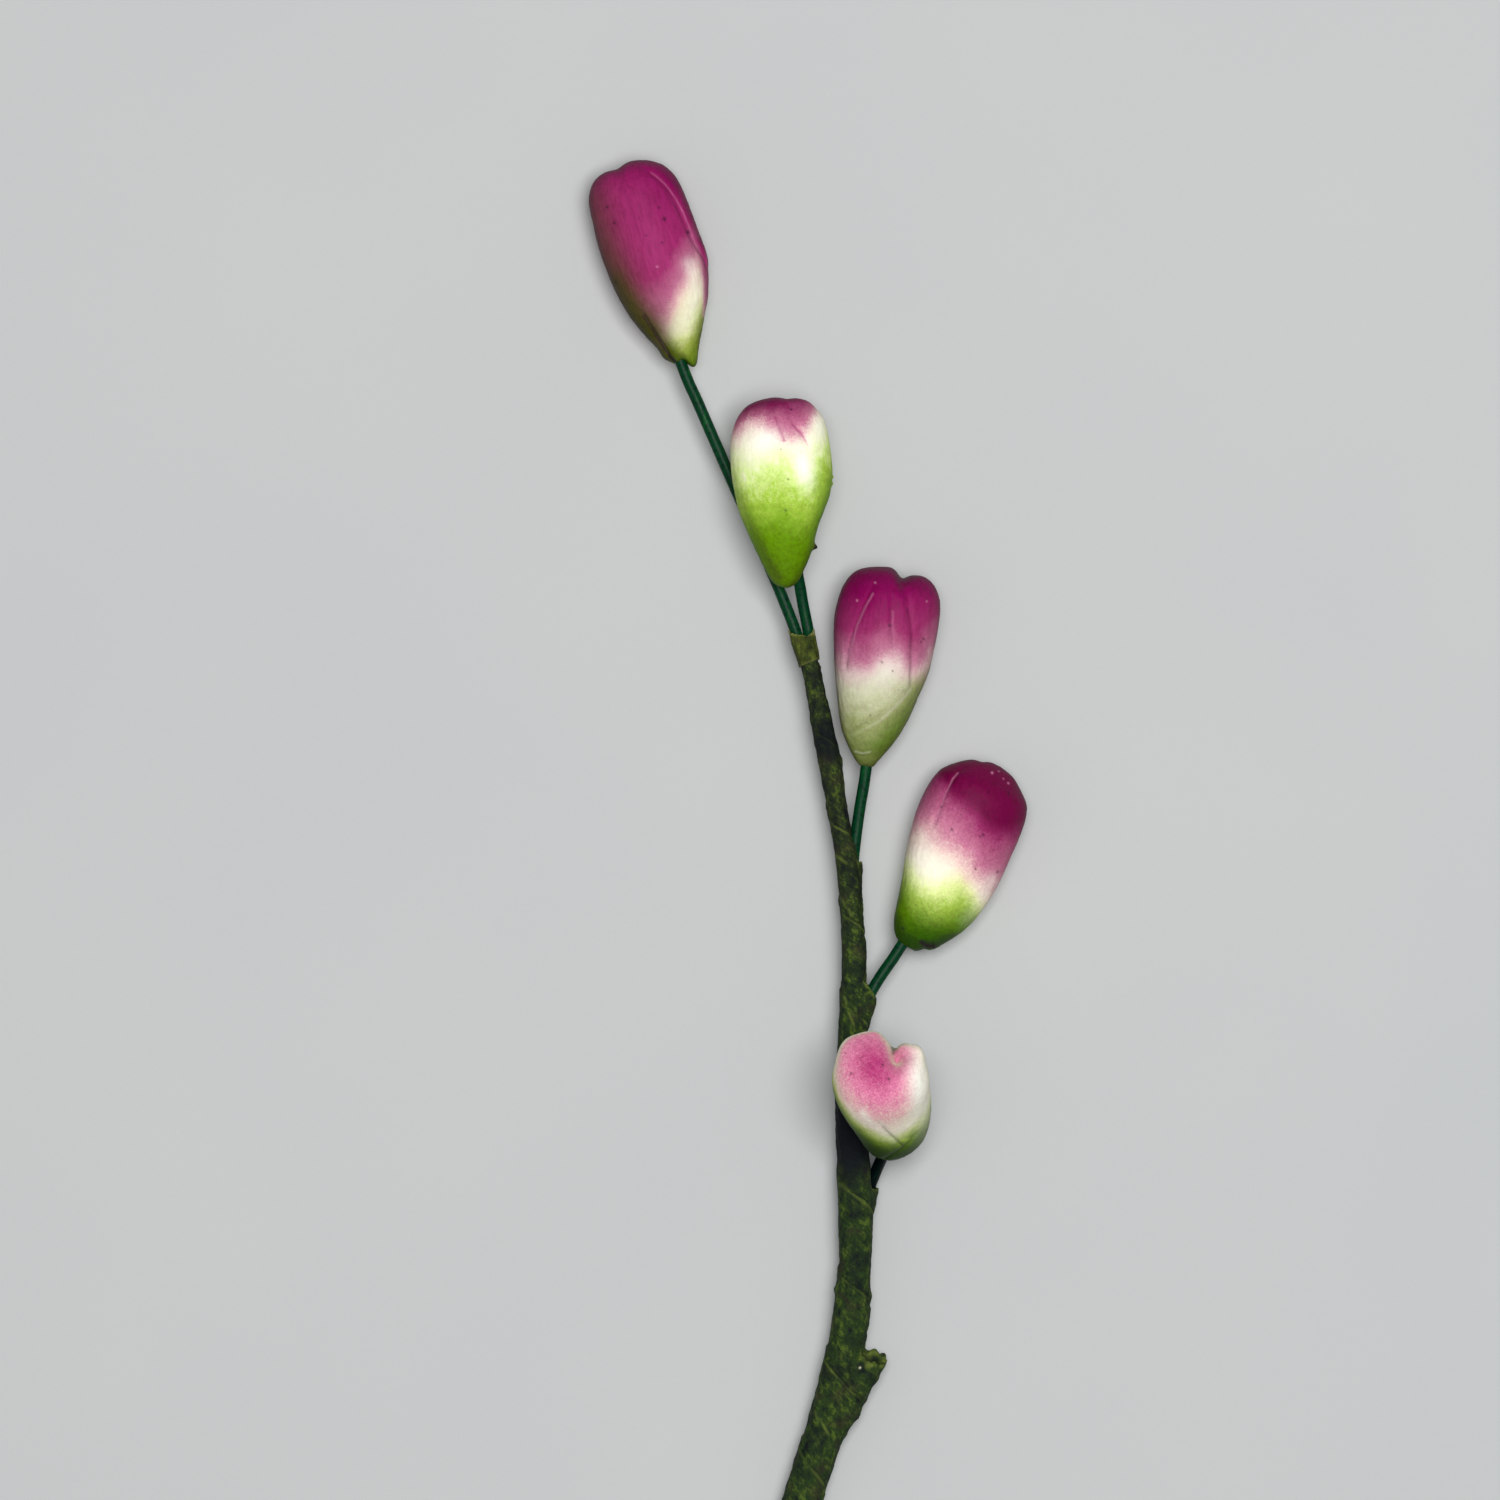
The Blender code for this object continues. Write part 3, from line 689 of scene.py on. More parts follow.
@dataclass(frozen=True)
class ClayPaint:
    """Airbrushed clay with a satin sheen. Colours are screen values."""

    name: str
    cream: Point = (252, 248, 222)
    lime: Point = (216, 240, 144)
    spring: Point = (164, 200, 68)
    green: Point = (108, 152, 6)
    base: Point = (72, 106, 4)
    blush: Point = (240, 212, 204)
    rose: Point = (196, 118, 146)
    pink: Point = (146, 32, 94)
    deep: Point = (118, 0, 68)
    # pale: pale paint and painted highlights.
    pale: Point = (255, 254, 240)
    # olive: olive paint and painted shade.
    olive: Point = (48, 46, 18)
    # light: painted highlights and glints.
    light: Point = (206, 130, 164)
    # dark: dark specks, and painted shade in creases and notches.
    dark: Point = (38, 18, 34)
    # rim: painted shade that the sides darken towards, where the clay turns away from the lamps.
    rim: Point = (190, 184, 184)
    speckle: float = 1.6
    streaking: float = 0.35
    cloudiness: float = 2.0
    roughness: float = 0.55
    gloss: float = 0.09
    tooth_depth: float = 0.09

    def greened(self, graph: Graph, fine: Signal, soft: Signal) -> Colour:
        """Sprays the greens over the cream ground.

        Args:
            graph: The material's nodes.
            fine: The grain of the spray's droplets, about 0.
            soft: The cloudy unevenness of the spray, about 0.

        Returns:
            The paint's colour.
        """
        green = graph.painted(Coat.GREEN.value)
        leafy = (green + green * (1.0 - green) * (fine * 1.5 + soft * self.cloudiness)).held()
        stops = (
            (0.0, srgb(*self.cream)),
            (0.3, srgb(*self.lime)),
            (0.62, srgb(*self.spring)),
            (1.0, srgb(*self.green)),
        )
        base = graph.painted(Coat.BASE.value)
        dabbed = (base + base * (1.0 - base) * (fine * 1.5 + soft * 2.0)).held()
        return graph.tinted(dabbed, graph.ramp(leafy, stops), srgb(*self.base))

    def pinked(self, graph: Graph, under: Colour, fine: Signal, soft: Signal) -> Colour:
        """Sprays the pinks over the greens.

        Args:
            graph: The material's nodes.
            under: The colour that they go over.
            fine: The grain of the spray's droplets, about 0.
            soft: The cloudy unevenness of the spray, about 0.

        Returns:
            The paint's colour.
        """
        pink = graph.painted(Coat.PINK.value)
        droplets = fine * self.speckle + soft * 1.2
        sprayed = (pink + (pink * (1.0 - pink) + 0.06 * pink) * droplets).held()
        stops = (
            (0.0, srgb(*self.blush)),
            (0.22, srgb(*self.blush)),
            (0.5, srgb(*self.rose)),
            (0.9, srgb(*self.pink)),
        )
        colour = graph.tinted(sprayed.between(0.0, 0.34), under, graph.ramp(sprayed, stops))
        deep = graph.painted(Coat.DEEP.value)
        deepened = (deep + deep * (1.0 - deep) * (fine * 1.6 + soft * 1.5)).held()
        return graph.tinted(deepened, colour, srgb(*self.deep))

    def made(self) -> bpy.types.Material:
        """Mixes the paint and its satin surface.

        Returns:
            The material.
        """
        graph = Graph(self.name)
        flow = graph.flow("flow")
        streaks = graph.cloud(graph.stretched(flow, (1.0, 0.16, 1.0)), 3.4, 3.0, 0.65)
        fine = graph.cloud(flow, 4.6, 3.0, 0.7)
        soft = graph.cloud(flow, 0.85, 3.0, 0.6)
        tooth = graph.cloud(flow, 2.2, 4.0, 0.75)
        spray, cloudy = fine - 0.5, soft * 0.6 + streaks * 0.4 - 0.5
        colour = self.pinked(graph, self.greened(graph, spray, cloudy), spray, cloudy)
        # Laid over the sprayed paint: olive paint with painted shade, pale paint with painted highlights, painted
        # highlights, and dark specks with painted shade.
        touches = {Coat.OLIVE_AND_SHADE: self.olive, Coat.PALE_AND_HIGHLIGHT: self.pale, Coat.LIGHT: self.light, Coat.DARK: self.dark}
        for coat, tint in touches.items():
            colour = graph.tinted(graph.painted(coat.value), colour, srgb(*tint))
        specks = graph.dots(flow, 1.3, 0.13, 0.12)
        colour = graph.tinted(specks * 0.5, colour, srgb(*self.dark))
        uneven = streaks * self.streaking + tooth * (1.0 - self.streaking)
        laid = (graph.painted(Coat.PINK.value) + graph.painted(Coat.GREEN.value)).held() * 0.75 + 0.25
        worn = (1.0 - uneven.between(0.3, 0.6)) * laid
        colour = graph.tinted(worn, colour, srgb(222, 208, 216), "MULTIPLY")
        # Painted shade: the rim amount darkens the sides, where the surface turns away from the lamps, towards
        # the rim colour.
        colour = graph.tinted(graph.painted("rim"), colour, srgb(*self.rim), "MULTIPLY")
        skin = streaks * 0.3 + tooth * 0.5 + fine * 0.2
        graph.feed(
            graph.shader,
            {
                "Base Color": colour,
                "Roughness": (self.roughness + (tooth - 0.5) * 0.3).held(),
                "Specular IOR Level": self.gloss,
                "Normal": graph.relief(skin, self.tooth_depth),
            },
        )
        return graph.material


@dataclass(frozen=True)
class WireCoating:
    """Glossy dark green coating on steel wire, with the bare steel at a cut end."""

    name: str
    green: Point = (0, 50, 25)
    lit: Point = (6, 78, 24)
    dark: Point = (0, 18, 18)
    steel: Point = (150, 150, 146)
    roughness: float = 0.42
    gloss: float = 0.1
    lump_depth: float = 0.035

    def made(self) -> bpy.types.Material:
        """Mixes the coating and the bare steel.

        Returns:
            The material.
        """
        graph = Graph(self.name)
        place = graph.place()
        flow = graph.flow("flow")
        long_streak = graph.cloud(graph.stretched(flow, (1.0, 0.25, 1.0)), 1.4, 3.0, 0.6)
        lumps = graph.cloud(flow, 2.2, 2.0)
        colour = graph.tinted(long_streak.between(0.5, 0.78), srgb(*self.green), srgb(*self.lit))
        colour = graph.tinted((1.0 - lumps.between(0.28, 0.5)) * 0.7, colour, srgb(*self.dark))
        steel = graph.painted("steel")
        colour = graph.tinted(steel, colour, srgb(*self.steel))
        scratches = graph.cloud(graph.stretched(place, (3.0, 1.0, 3.0)), 5.0, 2.0)
        graph.feed(
            graph.shader,
            {
                "Base Color": colour,
                "Metallic": steel,
                "Specular IOR Level": self.gloss,
                "Roughness": (self.roughness + (scratches - 0.5) * 0.3 + steel * 0.12).held(),
                "Normal": graph.relief(lumps * 0.6 + scratches * 0.4, self.lump_depth),
            },
        )
        return graph.material


@dataclass(frozen=True)
class CrepeTape:
    """Waxed crepe floral tape, mottled, with its crinkles running across the strip."""

    name: str
    ground: Point = (30, 41, 17)
    bright: Point = (70, 88, 26)
    # Dark of the mottling, and the colour of the painted shade.
    shade: Point = (3, 7, 15)
    fresh: Point = (30, 50, 15)
    brown: Point = (44, 37, 26)
    # Lighter fibres, and the colour of the painted highlights and lighter rims along edges.
    rim: Point = (98, 112, 44)
    # The colour of the painted glint of the cut wire's steel.
    fleck: Point = (224, 226, 190)
    roughness: float = 0.82
    gloss: float = 0.2
    crinkle_depth: float = 0.3

    def made(self) -> bpy.types.Material:
        """Mixes the mottled tape.

        Returns:
            The material.
        """
        graph = Graph(self.name)
        place = graph.place()
        strip = graph.flow("flow")
        crinkle = graph.cloud(graph.stretched(strip, (1.0, 0.3, 1.0)), 3.0, 4.0, 0.7)
        blots = graph.cloud(graph.stretched(place, (1.0, 0.6, 1.0)), 1.3, 4.0, 0.65)
        grit = graph.cloud(place, 4.2, 3.0, 0.75)
        patches = graph.cloud(place, 0.42, 2.0)
        fibres = graph.cloud(graph.stretched(strip, (3.0, 0.5, 3.0)), 3.0, 3.0, 0.7)
        colour = graph.tinted(graph.painted("fresh"), srgb(*self.ground), srgb(*self.fresh))
        mixed = blots * 0.5 + crinkle * 0.3 + grit * 0.2
        colour = graph.tinted(mixed.between(0.5, 0.6), colour, srgb(*self.bright))
        colour = graph.tinted(1.0 - mixed.between(0.39, 0.49), colour, srgb(*self.shade))
        colour = graph.tinted((1.0 - patches.between(0.34, 0.5)) * 0.5, colour, srgb(*self.shade))
        colour = graph.tinted(patches.between(0.52, 0.7) * 0.5, colour, srgb(*self.brown))
        colour = graph.tinted(fibres.between(0.6, 0.8) * 0.35, colour, srgb(*self.rim))
        # Laid last: painted highlights and lighter rims along edges, painted shade, and a painted glint of bare
        # steel.
        for name, tint in (("edge", self.rim), ("gap", self.shade), ("fleck", self.fleck)):
            colour = graph.tinted(graph.painted(name), colour, srgb(*tint))
        height = crinkle * 0.35 + fibres * 0.2 + grit * 0.25 + blots * 0.2
        graph.feed(
            graph.shader,
            {
                "Base Color": colour,
                "Roughness": (self.roughness + (crinkle - 0.5) * 0.3).held(),
                "Specular IOR Level": self.gloss,
                "Normal": graph.relief(height, self.crinkle_depth),
            },
        )
        return graph.material


@dataclass(frozen=True)
class PaleTable:
    """The plain pale surface that the sprig lies on."""

    name: str = "pale_table"
    near: Point = (184, 186, 184)
    far: Point = (178, 180, 180)
    roughness: float = 0.85
    tooth_depth: float = 0.02

    def made(self) -> bpy.types.Material:
        """Mixes the table's plain paint.

        Returns:
            The material.
        """
        graph = Graph(self.name)
        place = graph.place()
        cloudy = graph.cloud(place, 0.02, 3.0)
        tooth = graph.cloud(place, 1.6, 3.0, 0.7)
        graph.feed(
            graph.shader,
            {
                "Base Color": graph.tinted(cloudy, srgb(*self.near), srgb(*self.far)),
                "Roughness": (self.roughness + (tooth - 0.5) * 0.2).held(),
                "Normal": graph.relief(tooth, self.tooth_depth),
            },
        )
        return graph.material


# The stem's middle line and the wires' routes


@dataclass(frozen=True)
class Spine:
    """The stem's middle line: height, across, and out from the table."""

    rows: Rows = (
        (-90.0, -9.5, 2.1), (-82.8, -7.6, 2.28), (-76.5, -6.2, 2.43), (-70.2, -4.7, 2.59),
        (-64.0, -2.8, 2.75), (-56.8, -0.3, 2.93), (-51.3, 1.5, 3.07), (-47.1, 2.7, 3.17),
        (-41.0, 4.1, 3.33), (-35.5, 4.8, 3.47), (-26.0, 4.95, 3.70), (-16.0, 4.45, 3.95),
        (-6.0, 4.75, 4.20), (2.0, 4.75, 4.41), (9.0, 4.1, 4.58), (12.0, 3.65, 4.66), (15.0, 3.05, 4.74),
        (19.8, 2.3, 4.86), (25.3, 1.2, 5.0), (29.3, 0.35, 5.1), (33.5, -0.6, 5.2), (40.0, -2.2, 5.35),
    )

    def middle(self, heights: np.ndarray) -> np.ndarray:
        """The middle line's points at the heights."""
        across, out = SmoothCurve(self.rows).at(heights).T
        return np.stack([across, heights, out], axis=1)

    def frames(self, heights: np.ndarray) -> tuple[np.ndarray, np.ndarray, np.ndarray, np.ndarray]:
        """Finds the way that the stem runs.

        Args:
            heights: Where along it.

        Returns:
            The middle line's points, and the directions up, across and out.
        """
        up = unit(self.middle(heights + 0.5) - self.middle(heights - 0.5))
        across = unit(np.cross(up, (0.0, 0.0, 1.0)))
        return self.middle(heights), up, across, np.cross(across, up)

    def section(
        self, heights: np.ndarray, wide: np.ndarray, deep: np.ndarray, turns: np.ndarray, squared: float
    ) -> np.ndarray:
        """Points of a rounded section about the stem.

        Args:
            heights: Where along the stem they are.
            wide: The section's half-width there.
            deep: Its half-depth there.
            turns: The angle round the stem, in degrees from across.
            squared: How far the section is from an ellipse, at 2, towards a box.

        Returns:
            One point for each height.
        """
        middle, _, across, out = self.frames(heights)
        side, face = np.cos(np.radians(turns)), np.sin(np.radians(turns))
        power = 2 / squared
        sideways = np.sign(side) * np.abs(side) ** power * wide
        outward = np.sign(face) * np.abs(face) ** power * deep
        return middle + across * sideways[:, None] + out * outward[:, None]

    def unwound(self, places: np.ndarray) -> tuple[np.ndarray, np.ndarray]:
        """Finds where places lie on the stem.

        Args:
            places: Places on it or near it.

        Returns:
            The height along the stem and the angle round it, in degrees.
        """
        heights = places[:, 1].copy()
        for _ in range(4):
            middle, up, across, out = self.frames(heights)
            heights += np.einsum("ij,ij->i", places - middle, up)
        away = places - middle
        side = np.einsum("ij,ij->i", away, across)
        face = np.einsum("ij,ij->i", away, out)
        return heights, np.degrees(np.arctan2(face, side))


SPINE = Spine()
WIRE_RADIUS = 0.6
WIRE_END = -83.1
STEM_TOP = 30.1


@dataclass(frozen=True)
class Wire:
    """One coated wire: its places in the bundle, from the stem's middle line, and its free length."""

    name: str
    bundle: Rows
    free: Rows
    free_step: float = 2.6
    bundle_step: float = 4.0
    twist_step: float = 1.1
    level_margin: float = 0.3
    sides: int = 28
    step: float = 0.3
    lumps: float = 0.014
    steel_radius: float = 0.44
    steel_depth: float = 0.12
    top_radii: Point = (0.25, 0.5, 0.58)
    end_rows: Rows = (
        (-0.05, 0.6), (0.0, 0.56), (0.0, 0.43), (-0.03, 0.4), (0.04, 0.39), (0.05, 0.36), (0.05, 0.12),
    )

    def levels(self) -> np.ndarray:
        """Picks heights down the bundle, closer in the collar, where two wires cross.

        Returns:
            The heights, from the top down.
        """
        heights = [self.bundle[-1][0]]
        while heights[-1] > STEM_TOP:
            heights.append(heights[-1] - self.twist_step)
        level = math.floor((heights[-1] - WIRE_END) / self.bundle_step - self.level_margin)
        heights += [WIRE_END + self.bundle_step * step for step in range(level, -1, -1)]
        return np.array(heights)

    def knots(self) -> np.ndarray:
        """Finds the points that the wire passes through.

        Returns:
            The points, from its end in the clay to its cut end.
        """
        levels = self.levels()
        middle, _, across, out = SPINE.frames(levels)
        offsets = SmoothCurve(self.bundle).gently_at(levels)
        bundled = middle + across * offsets[:, :1] + out * offsets[:, 1:]
        keys = np.vstack([np.array(self.free), bundled[:2]])
        lengths = np.concatenate([[0.0], np.cumsum(np.linalg.norm(np.diff(keys, axis=0), axis=1))])
        steps = round(lengths[-2] / self.free_step)
        table = SmoothCurve(np.column_stack([lengths, keys]))
        return np.vstack([table.at(lengths[-2] * np.arange(steps) / steps), bundled])

    def centre_line(self, fine: float) -> np.ndarray:
        """Finds close points along the wire.

        Args:
            fine: Their spacing in millimetres.

        Returns:
            The points, from its end in the clay.
        """
        knots = self.knots()
        lengths = np.concatenate([[0.0], np.cumsum(np.linalg.norm(np.diff(knots, axis=0), axis=1))])
        count = max(int(lengths[-1] / fine), 8)
        table = SmoothCurve(np.column_stack([lengths, knots]))
        return table.at(np.linspace(0.0, lengths[-1], count + 1))

    def tube(
        self, name: str, line: np.ndarray, radii: np.ndarray, sides: int, ends: int = 0
    ) -> bpy.types.Object:
        """Makes a closed tube along a line.

        Args:
            name: The tube's name.
            line: Points along its middle.
            radii: Its radius at each of them.
            sides: How many faces go round it.
            ends: How many points shape its end, and so keep the way that the tube runs there.

        Returns:
            The tube.
        """
        run = line[: len(line) - ends]
        along = np.gradient(run, axis=0)
        along = unit(np.vstack([along, np.repeat(along[-1:], ends, axis=0)]))
        side = unit(np.cross(along, (0.0, 0.0, 1.0)))
        over = np.cross(side, along)

        def place(turns: np.ndarray, steps: np.ndarray) -> np.ndarray:
            """Lays the sheet round the wire.

            Args:
                turns: Shares of the way round.
                steps: Steps of the way along.

            Returns:
                One point for each.
            """
            index = steps.astype(int)
            angle = 2 * math.pi * (turns % 1.0)
            reach = radii[index] * np.cos(angle), radii[index] * np.sin(angle)
            return line[index] + side[index] * reach[0][:, None] + over[index] * reach[1][:, None]

        return Bench.rolled(name, sides, len(line) - 1, place)

    def ended(self, line: np.ndarray) -> tuple[np.ndarray, np.ndarray]:
        """Turns the cut end in: a rounded edge of coating round a proud steel core.

        Args:
            line: The wire's middle line, down to the cut end.

        Returns:
            The line with its end rows added, and the radius at each of its points.
        """
        radii = np.full(len(line), WIRE_RADIUS)
        out = line[-1] - line[-2]
        out /= np.linalg.norm(out)
        ends = np.array([line[-1] + out * offset for offset, _ in self.end_rows])
        radii = np.concatenate([radii[:-1], [radius for _, radius in self.end_rows]])
        radii[: len(self.top_radii)] = self.top_radii
        return np.vstack([line[:-1], ends]), radii

    def build(self, coating: bpy.types.Material) -> bpy.types.Object:
        """Makes the wire in place of its CAD node.

        Args:
            coating: Its finish.

        Returns:
            The wire.
        """
        line, radii = self.ended(self.centre_line(self.step))
        piece = self.tube(self.name + "_coated", line, radii, self.sides, len(self.end_rows))
        places = Bench.points(piece)
        Bench.push(piece, self.lumps * grain(places, (1.1, 0.7, 1.1)))
        end = line[-1]
        out = line[-1] - line[-1 - len(self.end_rows)]
        out /= np.linalg.norm(out)
        past = (places - end) @ out
        spread = np.linalg.norm((places - end) - past[:, None] * out, axis=1)
        bare = eased((self.steel_radius - spread) / 0.03 + 0.5) * (past > -self.steel_depth)
        Bench.store(piece, "steel", bare)
        Bench.store(piece, "flow", places)
        Bench.hand_over(piece, self.name, "green_coating", coating, 40.0)
        return piece


WIRES = (
    Wire(
        "wire_1",
        bundle=(
            (-90.0, -1.1, -0.66), (-51.0, -1.1, -0.66), (-46.0, -0.9, -0.66), (-40.0, -0.68, -0.66),
            (-27.0, -0.68, -0.66), (-20.0, -0.53, -1.0), (-8.0, -0.53, -1.0), (-2.0, -0.18, -1.2),
            (10.0, -0.18, -1.2), (16.0, 0.00, -0.68), (30.2, 0.00, -0.68), (31.4, -0.36, -0.57),
            (32.4, -0.55, -0.36), (33.5, -0.64, 0.00),
        ),
        free=(
            (-15.0, 67.6, 4.7), (-14.1, 64.2, 4.7), (-13.07, 61.0, 4.75), (-11.7, 57.9, 4.8), (-9.4, 52.6, 4.95),
            (-6.2, 45.3, 5.05), (-3.0, 37.9, 5.15), (-2.15, 35.8, 5.2),
        ),
    ),
    Wire(
        "wire_2",
        bundle=(
            (-90.0, -1.1, 0.66), (-51.0, -1.1, 0.66), (-46.0, -0.9, 0.66), (-40.0, -0.68, 0.66),
            (-27.0, -0.68, 0.66), (-20.0, -0.53, 0.34), (-8.0, -0.53, 0.34), (-2.0, -0.18, 1.20),
            (10.0, -0.18, 1.20), (16.0, 0.00, 0.68), (30.2, 0.00, 0.68), (31.4, 0.36, 0.57), (32.4, 0.55, 0.36),
            (33.5, 0.64, 0.00),
        ),
        free=((-2.1, 46.2, 8.3), (-1.7, 42.8, 7.35), (-1.2, 40.2, 6.3), (-0.79, 37.9, 5.6), (-0.42, 35.8, 5.3)),
    ),
    Wire(
        "wire_3",
        bundle=(
            (-90.0, 1.10, -0.66), (-51.0, 1.10, -0.66), (-46.0, 0.98, -0.15), (-40.0, 0.62, 0.00),
            (-27.0, 0.62, 0.00), (-20.0, 0.55, -0.34), (-8.0, 0.55, -0.34), (-2.0, 0.27, 0.00), (7.0, 0.27, 0.00),
        ),
        free=(
            (6.9, 25.6, 5.6), (6.45, 22.0, 5.55), (6.08, 19.0, 5.4), (5.78, 16.9, 5.2), (5.42, 14.8, 5.0),
            (5.12, 12.7, 4.85), (4.87, 10.6, 4.7),
        ),
    ),
    Wire(
        "wire_4",
        bundle=(
            (-90.0, 0.00, 1.30), (-51.0, 0.00, 1.30), (-46.0, 0.35, 1.35), (-40.0, 0.62, 1.30),
            (-27.0, 0.62, 1.30), (-20.0, 0.53, 1.00), (-11.0, 0.53, 1.00),
        ),
        free=(
            (13.4, 5.9, 4.95), (11.7, 3.3, 4.95), (10.2, 1.16, 4.98), (9.5, 0.1, 5.0), (8.14, -2.0, 5.05),
            (6.72, -4.1, 5.1), (5.78, -6.5, 5.14),
        ),
    ),
    Wire(
        "wire_5",
        bundle=(
            (-90.0, 0.00, -1.3), (-51.0, 0.00, -1.3), (-46.0, 0.35, -1.4), (-40.0, 0.62, -1.32),
            (-30.0, 0.62, -1.32),
        ),
        free=(
            (8.3, -17.0, 10.9), (8.4, -18.8, 8.1), (8.25, -20.5, 5.6), (7.6, -22.0, 4.1), (6.95, -23.8, 3.1),
            (6.1, -26.2, 2.5),
        ),
    ),
    Wire(
        "cut_wire",
        bundle=((-90.0, 1.10, 0.66), (-54.0, 1.10, 0.66)),
        free=((6.15, -44.3, 3.75), (5.25, -46.3, 3.83), (4.15, -48.5, 3.92), (2.75, -51.0, 3.86)),
    ),
)


# Clay buds


class Plane(Enum):
    """What the two numbers of a place on a bud mean."""

    ABOVE = "across and up the sprig, seen from above"
    LENGTH = "across the bud and along it from its base"


@dataclass(frozen=True)
class Sweep:
    """Paint over all that lies past a line, which is given by rows of place across and along."""

    coat: Coat
    rows: Rows
    fade: float
    strength: float = 1.0
    tipwards: bool = True
    plane: Plane = Plane.ABOVE

    def amount(self, skin: "Skin") -> np.ndarray:
        """Finds how much paint there is.

        Args:
            skin: The bud's surface.

        Returns:
            One amount for each vertex.
        """
        across, along = skin.on(self.plane).T
        line = SmoothCurve(self.rows).at(across)[:, 0]
        past = along - line if self.tipwards else line - along
        past = past + min(self.fade * 0.12, 0.6) * skin.wander
        share = past / self.fade + 0.5
        return self.strength * (0.6 * np.clip(share, 0.0, 1.0) + 0.4 * eased(share))


@dataclass(frozen=True)
class Patch:
    """An oval patch of paint on the side that faces up."""

    coat: Coat
    middle: Point
    radii: Point
    turn: float = 0.0
    strength: float = 1.0

    def amount(self, skin: "Skin") -> np.ndarray:
        """Finds how much paint there is.

        Args:
            skin: The bud's surface.

        Returns:
            One amount for each vertex.
        """
        away = skin.on(Plane.ABOVE) - np.array(self.middle)
        cos, sin = math.cos(math.radians(self.turn)), math.sin(math.radians(self.turn))
        wide = (away[:, 0] * cos + away[:, 1] * sin) / self.radii[0]
        tall = (away[:, 1] * cos - away[:, 0] * sin) / self.radii[1]
        return self.strength * skin.upward * bell(np.hypot(wide, tall), 1.0)


@dataclass(frozen=True)
class Stroke:
    """A stroke of paint along a line on the side that faces up, from one strength to another."""

    coat: Coat
    points: Rows
    width: float
    start: float = 1.0
    end: float = 1.0

    def amount(self, skin: "Skin") -> np.ndarray:
        """Finds how much paint there is.

        Args:
            skin: The bud's surface.

        Returns:
            One amount for each vertex.
        """
        distance, share, _ = Trail(self.points).nearest(skin.on(Plane.ABOVE))
        strength = self.start + (self.end - self.start) * share
        return strength * skin.upward * bell(distance, self.width)


@dataclass(frozen=True)
class Brim:
    """Paint along the brim, where the side that faces up turns over. Below 0 it takes paint off."""

    coat: Coat
    strength: float
    facing: float = 0.15
    width: float = 0.25

    def amount(self, skin: "Skin") -> np.ndarray:
        """How much paint each vertex gets."""
        return self.strength * bell(skin.facing - self.facing, self.width)


@dataclass(frozen=True)
class Crease:
    """A groove pressed along a line on the side that faces up, or a ridge where it is raised."""

    points: Rows
    width: float
    depth: float
    step: float = 0.0

    def amount(self, skin: "Skin") -> np.ndarray:
        """Finds how far the clay is pushed out.

        Args:
            skin: The bud's surface.

        Returns:
            One amount for each vertex.
        """
        distance, share, side = Trail(self.points).nearest(skin.on(Plane.ABOVE))
        ends = eased(share / 0.12) * eased((1 - share) / 0.12)
        lip = self.step * (0.5 + 0.5 * np.tanh(side * distance / self.width)) * np.exp(-distance / 1.2)
        return skin.upward * ends * (lip - self.depth * bell(distance, self.width))


@dataclass(frozen=True)
class Nub:
    """A small lump on the clay, with how far it stands out. A dark one is a blob of glue."""

    middle: Point
    radius: float
    height: float
    dark: float = 0.0


@dataclass(frozen=True)
class Pull:
    """A push of the thumb: moves the clay round a place seen from above, across and up the sprig."""

    middle: Point
    radius: float
    shift: Point

    def amount(self, places: np.ndarray) -> np.ndarray:
        """How far each place moves."""
        away = np.hypot(places[:, 0] - self.middle[0], places[:, 1] - self.middle[1])
        return bell(away, self.radius)[:, None] * np.array((*self.shift, 0.0))


@dataclass(frozen=True)
class Cleft:
    """A groove pressed over one end of a bud, square to its width."""

    across: float
    half_width: float
    depth: float
    reach: float
    at_tip: bool = True
    back_only: bool = False


@dataclass(frozen=True)
class Seam:
    """The edge of a folded petal: rows of share of the length and angle round the bud."""

    rows: Rows
    groove: float
    step: float


Mark = Union[Sweep, Patch, Stroke, Brim]


@dataclass
class Skin:
    """A bud's surface as the paint sees it: its places and how far they face up."""

    places: np.ndarray
    local: np.ndarray
    facing: np.ndarray
    wander: np.ndarray

    @property
    def upward(self) -> np.ndarray:
        """1 on the side that faces up, and 0 underneath."""
        return eased(self.facing * 3 + 0.5)

    def spot(self, x: float, y: float, radius: float) -> np.ndarray:
        """A round spot on the side that faces up."""
        return bell(np.hypot(self.places[:, 0] - x, self.places[:, 1] - y), radius) * self.upward

    def on(self, plane: Plane) -> np.ndarray:
        """Each vertex's two numbers on a plane."""
        return self.places[:, :2] if plane is Plane.ABOVE else self.local[:, :2]


